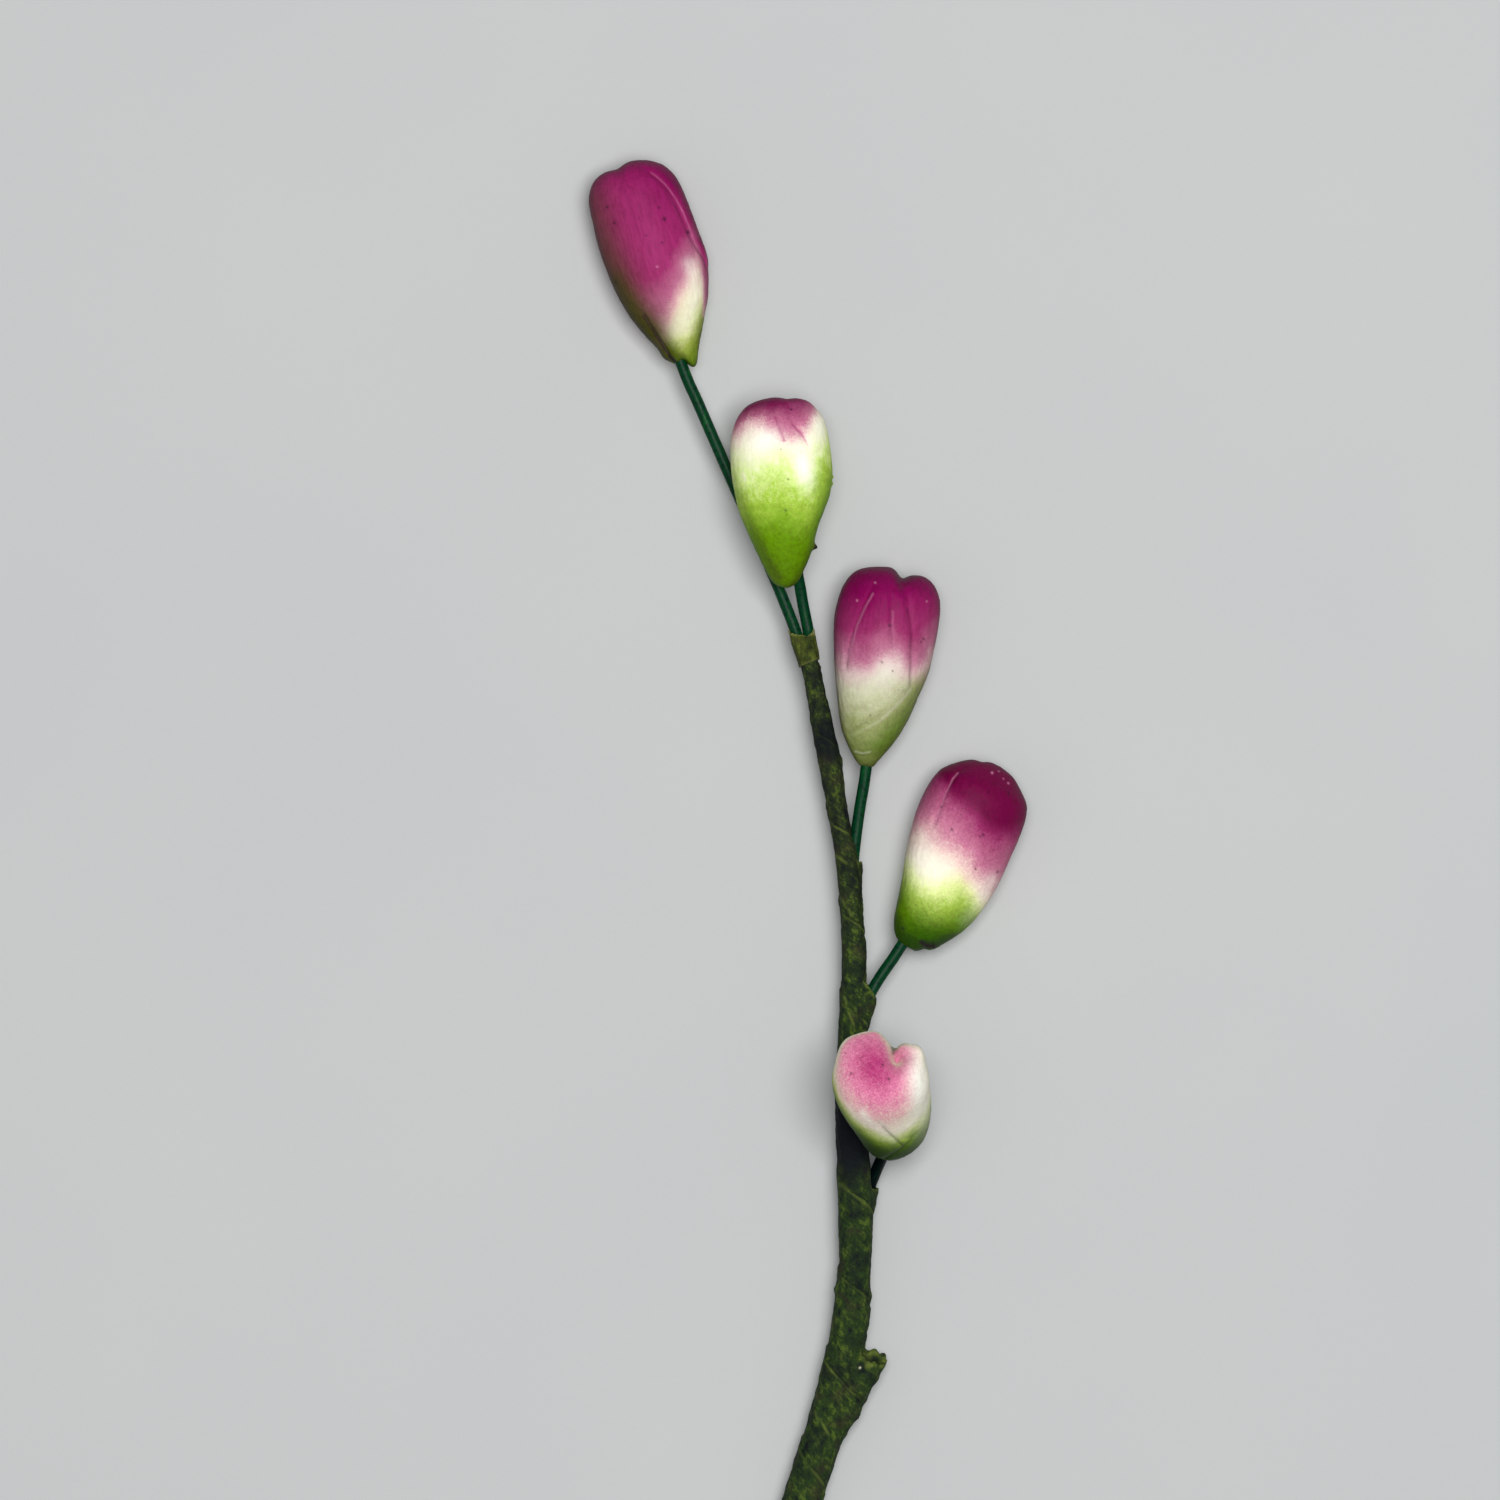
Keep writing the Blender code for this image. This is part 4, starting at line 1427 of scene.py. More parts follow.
@dataclass(frozen=True)
class ClayBud:
    """One clay bud: its axis, its half-widths left and right of the axis, its relief and its paint."""

    number: int
    base: Point
    tip: Point
    sections: Rows
    front: float
    back: float
    clefts: tuple[Cleft, ...]
    seams: tuple[Seam, ...]
    paint: ClayPaint
    marks: tuple[Mark, ...]
    creases: tuple[Crease, ...] = ()
    nubs: tuple[Nub, ...] = ()
    pulls: tuple[Pull, ...] = ()
    specks: Rows = ()
    glints: Rows = ()
    segments: int = 232
    rings: int = 210
    seam_width: float = 0.45
    seam_reach: float = 2.2
    seam_fade: float = 0.05
    cleft_heart: float = 0.7
    lumps: float = 0.05
    tooth: float = 0.02
    streaks: float = 0.014

    @property
    def length(self) -> float:
        """The distance from the base to the tip."""
        return (Vector(self.tip) - Vector(self.base)).length

    def axes(self) -> np.ndarray:
        """Finds the bud's own directions.

        Returns:
            Rows for across, along and out.
        """
        along = (Vector(self.tip) - Vector(self.base)).normalized()
        across = along.cross(Vector((0, 0, 1))).normalized()
        return np.array([across, along, across.cross(along)])

    def seam_relief(
        self, seam: Seam, share: np.ndarray, angle: np.ndarray, radius: np.ndarray
    ) -> np.ndarray:
        """How far a petal's edge lifts or sinks the surface.

        Args:
            seam: The edge.
            share: The share of the bud's length at each vertex.
            angle: The angle round the bud there, in degrees.
            radius: The bud's mean half-width there.

        Returns:
            The lift at each vertex.
        """
        curve = SmoothCurve(seam.rows)
        first, last = seam.rows[0][0], seam.rows[-1][0]
        fade = eased((share - first) / self.seam_fade + 1) * eased((last - share) / self.seam_fade + 1)
        middle, beyond = curve.at(share)[:, 0], curve.at(share + 0.01)[:, 0]
        turn = (angle - middle + 180) % 360 - 180
        lean = radius * np.radians(beyond - middle) / (0.01 * self.length)
        distance = radius * np.radians(turn) / np.hypot(1, lean)
        groove = -seam.groove * bell(distance, self.seam_width)
        rise = 0.5 + 0.5 * np.tanh(distance / (self.seam_width / 2))
        rise = 1 - rise if seam.step < 0 else rise
        return fade * (groove + abs(seam.step) * rise * np.exp(-np.abs(distance) / self.seam_reach))

    def formed(self, ball: np.ndarray) -> np.ndarray:
        """Shapes the bud in its own frame.

        Args:
            ball: The vertices of a ball of radius 1 that stands on its pole.

        Returns:
            Rows of across, along and out.
        """
        direction = np.stack([ball[:, 0], ball[:, 2], -ball[:, 1]], axis=1)
        share = (1 + direction[:, 1]) / 2
        turn = np.arctan2(direction[:, 2], direction[:, 0])
        squares = [(0.0, 0.0, 0.0), *((t, a**2, b**2) for t, a, b in self.sections), (1.0, 0.0, 0.0)]
        left, right = np.sqrt(np.maximum(SmoothCurve(squares).at(share), 0.0)).T
        mean = (left + right) / 2
        depth = mean * np.where(direction[:, 2] > 0, self.front, self.back)
        width = np.where(direction[:, 0] > 0, right, left)
        angle = np.degrees(turn) % 360
        relief = sum(self.seam_relief(seam, share, angle, mean) for seam in self.seams)
        relief = np.where(mean > 0, relief, 0.0)
        local = np.stack(
            [(width + relief) * np.cos(turn), share * self.length, (depth + relief) * np.sin(turn)],
            axis=1,
        )
        for cleft in self.clefts:
            local = self.pressed(cleft, local, share)
        return local

    def pressed(self, cleft: Cleft, local: np.ndarray, share: np.ndarray) -> np.ndarray:
        """Presses a cleft into one end.

        Args:
            cleft: The cleft.
            local: The places in the bud's frame.
            share: The share of its length at each of them.

        Returns:
            The new places.
        """
        into_end = share if cleft.at_tip else 1 - share
        weight = eased((into_end - 1 + cleft.reach) / cleft.reach)
        weight = weight * bell(local[:, 0] - cleft.across, cleft.half_width)
        if cleft.back_only:
            weight = weight * eased(0.75 - local[:, 2] / 4)
        heart = self.cleft_heart if cleft.at_tip else 1 - self.cleft_heart
        inward = unit(np.array([cleft.across, heart * self.length, 0.0]) - local)
        return local + inward * (cleft.depth * weight)[:, None]

    def skin(self, piece: bpy.types.Object) -> Skin:
        """Reads the bud's surface as it now is.

        Args:
            piece: The bud.

        Returns:
            The surface.
        """
        places = Bench.points(piece)
        local = (places - np.array(self.base)) @ self.axes().T
        wander = grain(local, (0.45, 0.3, 0.45), 2)
        return Skin(places, local, Bench.normals(piece)[:, 2], wander)

    def modelled(self) -> bpy.types.Object:
        """Models the clay from a ball.

        Returns:
            The bare bud.
        """
        bpy.ops.object.select_all(action="DESELECT")
        bpy.ops.mesh.primitive_uv_sphere_add(
            segments=self.segments, ring_count=self.rings, radius=1.0, location=(0, 0, 0)
        )
        piece = Bench.newest(f"bud_{self.number}_painted")
        local = self.formed(Bench.points(piece) * MM)
        places = np.array(self.base) + local @ self.axes()
        for pull in self.pulls:
            places = places + pull.amount(places)
        places[:, 2] = np.maximum(places[:, 2], 0.0)
        Bench.move_to(piece, places)
        Bench.face_outwards(piece)
        skin = self.skin(piece)
        relief = self.lumps * grain(skin.local, (0.3, 0.22, 0.3))
        relief = relief + self.tooth * grain(skin.local, (1.5, 1.1, 1.5))
        relief = relief + self.streaks * grain(skin.local, (2.6, 0.35, 2.6))
        for crease in self.creases:
            relief = relief + crease.amount(skin)
        for nub in self.nubs:
            away = np.linalg.norm(skin.places - np.array(nub.middle), axis=1)
            relief = relief + nub.height * bell(away, nub.radius)
        Bench.push(piece, relief)
        return piece

    def painted(self, piece: bpy.types.Object) -> None:
        """Stores how much of each paint, painted highlight and painted shade every vertex has.

        Args:
            piece: The bare bud.
        """
        skin = self.skin(piece)
        amounts = {coat: np.zeros(len(skin.places)) for coat in Coat}
        for mark in self.marks:
            amount = np.clip(mark.amount(skin), -1.0, 1.0)
            held = amounts[mark.coat]
            added = held + np.maximum(amount, 0.0) * (1 - held)
            amounts[mark.coat] = added * (1 + np.minimum(amount, 0.0))
        for speck in self.specks:
            amounts[Coat.DARK] = np.maximum(amounts[Coat.DARK], 0.85 * skin.spot(*speck))
        # Painted glints, laid with the painted highlight coat.
        for glint in self.glints:
            amounts[Coat.LIGHT] = np.maximum(amounts[Coat.LIGHT], skin.spot(*glint))
        for nub in self.nubs:
            away = np.linalg.norm(skin.places - np.array(nub.middle), axis=1)
            near = nub.dark * eased((nub.radius * 1.4 - away) / 0.3 + 0.5)
            amounts[Coat.DARK] = np.maximum(amounts[Coat.DARK], near)
        for coat, values in amounts.items():
            Bench.store(piece, coat.value, values)
        Bench.store(piece, "flow", skin.local)
        # Painted shade on the sides: the rim amount peaks where the surface faces sideways.
        Bench.store(piece, "rim", bell(Bench.normals(piece)[:, 2] - 0.05, 0.38))

    def build(self) -> bpy.types.Object:
        """Makes the painted bud in place of its CAD node.

        Returns:
            The bud.
        """
        piece = self.modelled()
        self.painted(piece)
        Bench.hand_over(piece, f"bud_{self.number}", f"bud_{self.number}_clay", self.paint.made())
        return piece


BUD_1 = ClayBud(
    number=1, base=(-12.8, 61.6, 4.65), tip=(-18.9, 82.85, 4.75),
    sections=(
        (0.02, 1.2, 1.2), (0.1, 2.3, 2.2), (0.2, 3.5, 3.3), (0.3, 4.4, 4.35), (0.45, 5.1, 5.1), (0.6, 5.4, 5.05),
        (0.75, 5.35, 4.8), (0.86, 5.15, 4.4), (0.93, 4.5, 3.6), (0.97, 3.5, 2.5),
    ),
    front=0.92, back=0.93,
    clefts=(Cleft(-1.35, 0.8, 0.3, 0.2), Cleft(-0.2, 0.5, 0.55, 0.08, at_tip=False)),
    seams=(
        Seam(((0.45, 14.0), (0.54, 30.0), (0.7, 38.0), (0.8, 42.0), (0.93, 60.0)), 0.2, -0.22),
        Seam(((0.35, 255.0), (0.6, 250.0), (0.95, 268.0)), 0.22, 0.2),
        Seam(((0.5, 305.0), (0.75, 300.0), (0.94, 290.0)), 0.15, 0.15),
    ),
    paint=ClayPaint(
        "bud_1_paint", cream=(232, 228, 192), lime=(216, 222, 156), spring=(160, 176, 80), green=(112, 134, 34),
        base=(80, 110, 14), blush=(222, 182, 178), rose=(182, 106, 136), pink=(154, 38, 100), deep=(128, 0, 80),
        olive=(66, 66, 6), speckle=0.8, streaking=0.75,
    ),
    marks=(
        Sweep(Coat.PINK, (
            (-23.0, 66.4), (-18.0, 65.8), (-16.5, 66.2), (-15.1, 67.4), (-14.2, 69.2), (-13.4, 71.0),
            (-12.5, 72.6), (-11.7, 73.4), (-11.0, 73.0), (-10.5, 72.2),
        ), 11.0),
        Stroke(Coat.PINK, ((-11.2, 74.6), (-10.75, 72.0), (-10.6, 69.6), (-10.8, 66.8)), 0.36, 0.9, 0.3),
        Stroke(Coat.DEEP, (
            (-22.5, 79.2), (-21.8, 81.3), (-19.9, 81.9), (-17.8, 82.4), (-15.4, 81.9), (-14.1, 80.8),
        ), 1.3, 0.35, 0.8),
        Stroke(Coat.DEEP, ((-14.9, 81.4), (-13.2, 79.2), (-12.2, 76.9), (-11.3, 74.2)), 0.6, 0.75, 0.55),
        Patch(Coat.DEEP, (-16.4, 79.4), (3.2, 3.4), 16.0, 0.5),
        # Olive paint down the left flank, deepened as painted shade where the flank turns away from the light.
        Stroke(Coat.OLIVE_AND_SHADE, (
            (-22.7, 78.4), (-22.1, 75.5), (-21.0, 72.4), (-19.6, 69.2), (-18.2, 66.8), (-16.6, 64.8),
        ), 2.3, 0.45, 1.0),
        Stroke(Coat.OLIVE_AND_SHADE, ((-20.4, 70.0), (-18.4, 66.6), (-16.5, 64.4), (-14.8, 62.6)), 1.2, 0.7, 0.9),
        Sweep(Coat.GREEN, (
            (-19.0, 66.5), (-17.2, 65.6), (-15.6, 63.9), (-14.2, 63.2), (-13.0, 63.8), (-12.0, 65.4),
            (-11.0, 67.4),
        ), 4.6, tipwards=False),
        Sweep(Coat.BASE, ((-17.0, 64.6), (-14.6, 64.0), (-13.0, 62.2), (-11.0, 62.0)), 3.0, 0.75, tipwards=False),
        Stroke(Coat.BASE, ((-16.0, 65.0), (-14.7, 63.1), (-13.7, 62.0), (-12.2, 61.5)), 0.5, 0.7, 1.0),
        # Painted highlight down the right side.
        Stroke(Coat.PALE_AND_HIGHLIGHT, (
            (-12.4, 72.0), (-12.0, 70.6), (-11.9, 69.0), (-12.1, 67.2), (-12.5, 65.4),
        ), 0.75, 0.35, 0.2),
        # Painted highlights along the front petal's edge.
        Stroke(Coat.LIGHT, (
            (-16.44, 81.59), (-15.72, 81.03), (-14.92, 80.31), (-13.96, 79.03), (-13.16, 77.59),
        ), 0.07, 0.25, 0.4),
        Stroke(Coat.LIGHT, ((-13.16, 77.59), (-12.44, 75.83), (-11.72, 73.91)), 0.08, 0.4, 0.3),
        # Painted shade in the crease at the base.
        Stroke(Coat.DARK, ((-17.3, 66.6), (-16.1, 64.8), (-15.1, 63.3), (-14.5, 62.4), (-13.8, 61.7)), 0.16, 0.6),
    ),
    creases=(
        Crease(
            ((-16.6, 81.7), (-15.72, 81.03), (-14.92, 80.31), (-13.96, 79.03), (-13.16, 77.59)), 0.12, 0.03, 0.04
        ),
        Crease(((-17.6, 67.2), (-16.1, 64.8), (-15.1, 63.3), (-14.3, 62.1), (-13.5, 61.3)), 0.2, 0.2, -0.14),
    ),
    pulls=(Pull((-12.1, 62.0), 0.7, (0.2, -0.6)), Pull((-14.6, 63.0), 0.8, (-0.25, -0.6))),
    specks=(
        (-21.08, 77.99, 0.13), (-20.28, 76.31, 0.14), (-15.64, 77.91, 0.12), (-15.08, 76.71, 0.2),
        (-12.6, 75.38, 0.2), (-20.2, 70.15, 0.13), (-15.3, 74.2, 0.12), (-16.9, 75.0, 0.1),
    ),
    glints=((-15.8, 71.67, 0.1),),
)
BUD_2 = ClayBud(
    number=2, base=(-2.4, 38.1, 8.45), tip=(-2.85, 58.1, 8.75),
    sections=(
        (0.03, 1.3, 1.3), (0.1, 2.1, 2.1), (0.2, 3.0, 2.95), (0.3, 3.9, 3.5), (0.4, 4.65, 4.25),
        (0.5, 5.05, 4.95), (0.62, 5.38, 5.2), (0.78, 5.3, 4.9), (0.88, 4.75, 4.4), (0.94, 3.9, 3.5),
        (0.975, 2.8, 2.7),
    ),
    front=0.93, back=0.9,
    clefts=(Cleft(0.6, 0.7, 0.25, 0.2, back_only=True),),
    seams=(
        Seam(((0.78, 89.0), (0.85, 96.0), (0.94, 107.0)), 0.12, 0.1),
        Seam(((0.74, 56.0), (0.81, 65.0), (0.9, 76.0)), 0.12, -0.1),
        Seam(((0.35, 240.0), (0.6, 248.0), (0.94, 262.0)), 0.2, 0.2),
        Seam(((0.4, 312.0), (0.7, 300.0), (0.94, 290.0)), 0.16, 0.15),
    ),
    paint=ClayPaint(
        "bud_2_paint", cream=(252, 250, 218), green=(104, 150, 0), base=(76, 110, 0), olive=(60, 66, 22),
        pink=(146, 36, 96), deep=(116, 2, 70), rim=(242, 240, 234), cloudiness=4.5,
    ),
    marks=(
        Sweep(Coat.PINK, (
            (-8.4, 54.8), (-7.0, 55.3), (-5.9, 55.6), (-4.8, 55.7), (-3.8, 55.3), (-3.1, 55.0), (-2.4, 54.8),
            (-1.6, 54.9), (-0.7, 55.5), (0.0, 56.2), (0.5, 57.0), (1.2, 58.2), (2.2, 59.4),
        ), 6.2),
        Sweep(Coat.DEEP, (
            (-8.0, 56.0), (-6.0, 56.2), (-4.8, 56.3), (-3.7, 56.4), (-3.0, 56.8), (-1.6, 57.2), (-0.7, 57.8),
            (0.2, 58.8), (0.8, 59.6), (2.2, 61.6),
        ), 2.4, 0.95),
        Stroke(Coat.PINK, ((-3.5, 55.9), (-2.98, 54.65), (-2.53, 53.4)), 0.13, 0.5, 0.3),
        Patch(Coat.PINK, (-1.8, 54.3), (1.7, 1.2), -20.0, 0.16),
        Stroke(Coat.PINK, ((-1.7, 55.1), (-0.73, 54.13), (0.02, 52.86), (0.2, 51.9)), 0.13, 0.5, 0.05),
        # Painted highlights on the white of the body.
        Patch(Coat.PALE_AND_HIGHLIGHT, (-4.6, 53.5), (1.6, 1.1), 12.0, 0.75),
        Patch(Coat.PALE_AND_HIGHLIGHT, (-0.4, 50.6), (0.8, 1.8), 12.0, 0.9),
        Patch(Coat.PALE_AND_HIGHLIGHT, (1.4, 55.0), (0.7, 1.6), 0.0, 0.5),
        Sweep(Coat.GREEN, (
            (-8.2, 48.8), (-6.8, 48.0), (-4.8, 48.0), (-3.0, 48.8), (-1.9, 48.2), (-0.9, 47.4), (0.0, 47.6),
            (0.8, 49.2), (1.6, 50.8), (2.5, 52.0),
        ), 10.0, tipwards=False),
        Sweep(Coat.BASE, ((-8.0, 42.2), (-4.0, 41.4), (0.0, 41.8), (3.0, 42.6)), 8.0, 0.95, tipwards=False),
        # Painted shade along both outlines, where the sides turn away from the light.
        Stroke(
            Coat.OLIVE_AND_SHADE, ((-8.2, 52.4), (-7.6, 49.0), (-6.2, 45.2), (-4.4, 41.4), (-3.2, 39.2)), 0.5, 0.1, 0.55
        ),
        Stroke(Coat.OLIVE_AND_SHADE, ((2.6, 51.5), (2.1, 48.0), (1.2, 44.4), (-0.2, 40.6), (-1.4, 38.6)), 0.4, 0.0, 0.4),
    ),
    creases=(
        Crease(((-3.5, 56.2), (-2.98, 54.65), (-2.45, 53.3)), 0.12, 0.04),
        Crease(((-1.7, 55.1), (-0.73, 54.13), (0.02, 52.86), (0.25, 51.4)), 0.12, 0.04),
        Crease(((-3.6, 41.0), (-2.4, 40.7), (-1.2, 41.0)), 0.25, 0.04),
    ),
    nubs=(
        Nub((2.45, 49.7, 8.8), 0.16, 0.2),
        Nub((2.35, 49.0, 8.7), 0.2, 0.22),
        Nub((0.62, 42.4, 8.5), 0.3, 0.5, dark=1.0),
    ),
    specks=(
        (-2.11, 49.38, 0.11), (-2.38, 46.16, 0.13), (-2.83, 52.51, 0.07), (-0.76, 52.23, 0.07),
        (-1.78, 56.68, 0.12),
    ),
)
BUD_3 = ClayBud(
    number=3, base=(6.1, 19.2, 5.4), tip=(8.8, 40.3, 5.6),
    sections=(
        (0.015, 0.85, 0.75), (0.05, 1.52, 1.25), (0.1, 2.21, 2.0), (0.2, 3.2, 3.2), (0.3, 3.85, 4.0),
        (0.4, 4.3, 4.6), (0.5, 4.7, 5.2), (0.62, 5.1, 5.5), (0.75, 5.28, 5.68), (0.86, 4.95, 5.5),
        (0.93, 4.25, 4.75), (0.97, 3.3, 3.7),
    ),
    front=0.92, back=0.9,
    clefts=(Cleft(1.2, 0.75, 0.85, 0.16),),
    seams=(
        Seam(((0.5, 137.0), (0.62, 130.0), (0.71, 123.0), (0.8, 116.0), (0.88, 111.0)), 0.16, -0.16),
        Seam(((0.6, 78.0), (0.7, 83.0), (0.85, 86.0)), 0.14, 0.12),
        Seam(((0.45, 44.0), (0.55, 52.0), (0.67, 58.0), (0.81, 67.0), (0.95, 75.0)), 0.2, 0.16),
        Seam(((0.16, 143.0), (0.22, 99.0), (0.28, 70.0), (0.34, 55.0), (0.42, 42.0)), 0.06, 0.1),
        Seam(((0.3, 250.0), (0.6, 244.0), (0.94, 262.0)), 0.2, 0.2),
    ),
    paint=ClayPaint(
        "bud_3_paint", cream=(222, 215, 198), lime=(192, 194, 158), spring=(146, 154, 98), green=(96, 124, 40),
        base=(84, 94, 36), blush=(212, 176, 178), rose=(180, 108, 136), pink=(150, 44, 98), deep=(130, 0, 80),
        rim=(206, 200, 198), speckle=1.3, streaking=0.55,
    ),
    marks=(
        Sweep(Coat.PINK, (
            (2.5, 31.8), (3.6, 31.2), (4.2, 30.8), (5.3, 30.6), (6.4, 31.0), (7.4, 31.8), (8.0, 32.0),
            (8.8, 31.8), (9.8, 31.2), (10.6, 30.6), (11.4, 30.8), (12.3, 31.6), (13.6, 32.6),
        ), 7.4),
        Sweep(Coat.DEEP, (
            (2.5, 35.6), (4.4, 35.6), (6.2, 34.9), (7.4, 34.9), (8.4, 34.8), (10.1, 35.6), (12.0, 36.2),
            (14.0, 36.2),
        ), 4.0),
        # Painted shade at the tip and the notch, where the clay turns away from the light.
        Patch(Coat.DARK, (7.4, 39.4), (3.2, 1.1), 0.0, 0.24),
        Patch(Coat.DARK, (10.8, 38.8), (1.8, 0.9), -16.0, 0.3),
        Patch(Coat.PALE_AND_HIGHLIGHT, (8.6, 29.4), (1.6, 1.2), 20.0, 0.15),
        Sweep(Coat.GREEN, (
            (2.0, 25.4), (4.4, 25.8), (6.0, 25.6), (7.6, 25.8), (9.2, 26.2), (10.6, 27.4), (12.0, 28.2),
            (13.5, 28.5),
        ), 9.0, 0.8, tipwards=False),
        Stroke(Coat.GREEN, ((12.3, 29.0), (11.6, 27.4), (10.6, 25.4), (9.4, 23.4), (7.8, 21.2)), 1.2, 0.4, 1.0),
        Sweep(Coat.BASE, ((3.5, 20.6), (6.0, 20.6), (9.0, 21.0)), 3.4, 0.85, tipwards=False),
        # Painted highlights on the diagonal ridge and the neck wrinkles, with painted shade in the groove above
        # the ridge.
        Stroke(Coat.PALE_AND_HIGHLIGHT, ((4.6, 22.6), (6.1, 23.4), (7.6, 24.2), (9.2, 25.7), (10.7, 27.4)), 0.16, 0.05, 0.2),
        Stroke(Coat.OLIVE_AND_SHADE, ((4.6, 23.1), (6.0, 24.0), (7.2, 24.6)), 0.2, 0.2, 0.05),
        Stroke(Coat.PALE_AND_HIGHLIGHT, ((4.9, 20.95), (5.7, 20.75), (6.5, 20.9)), 0.1, 0.2, 0.15),
        # Painted highlights and painted shade along the petal edges.
        Stroke(Coat.LIGHT, (
            (6.77, 37.47), (5.97, 36.04), (5.18, 34.28), (4.54, 32.05), (4.09, 30.46),
        ), 0.09, 0.5, 0.4),
        Stroke(Coat.DARK, ((8.6, 35.9), (8.55, 34.9), (8.5, 34.1), (8.68, 33.0), (8.81, 31.7)), 0.1, 0.25, 0.1),
        Stroke(Coat.LIGHT, ((8.85, 35.6), (8.85, 34.1), (9.0, 32.4)), 0.1, 0.3, 0.2),
        Stroke(
            Coat.DARK, ((10.3, 36.0), (10.67, 34.8), (10.83, 33.0), (10.78, 30.8), (10.78, 28.4)), 0.09, 0.3, 0.12
        ),
        Patch(Coat.OLIVE_AND_SHADE, (6.2, 19.4), (0.7, 0.35), 0.0, 0.5),
    ),
    creases=(
        Crease(((8.5, 38.4), (8.62, 37.0), (8.55, 35.0), (8.75, 31.8)), 0.16, 0.05),
        Crease(((6.77, 37.47), (5.97, 36.04), (5.18, 34.28), (4.54, 32.05), (4.09, 30.46)), 0.12, -0.02, 0.03),
        Crease(((10.3, 36.3), (10.67, 34.76), (10.83, 33.0), (10.78, 30.8), (10.7, 28.0)), 0.14, 0.05, 0.03),
        Crease(((4.2, 22.7), (6.0, 23.9), (7.6, 24.7), (9.2, 26.2), (10.8, 27.9)), 0.2, 0.03, 0.03),
        Crease(((4.9, 20.6), (5.8, 20.4), (6.9, 20.6)), 0.12, 0.04),
        Crease(((4.9, 21.1), (5.8, 20.95), (6.8, 21.1)), 0.12, 0.03),
    ),
    pulls=(Pull((10.9, 40.0), 1.1, (0.0, -0.3)),),
    specks=(
        (8.52, 34.13, 0.16), (12.1, 32.72, 0.13), (11.83, 32.42, 0.11), (7.72, 30.27, 0.12), (8.84, 29.35, 0.09),
        (6.53, 24.7, 0.09),
    ),
    glints=((7.01, 38.62, 0.1), (5.13, 36.75, 0.1), (12.42, 36.67, 0.08)),
)
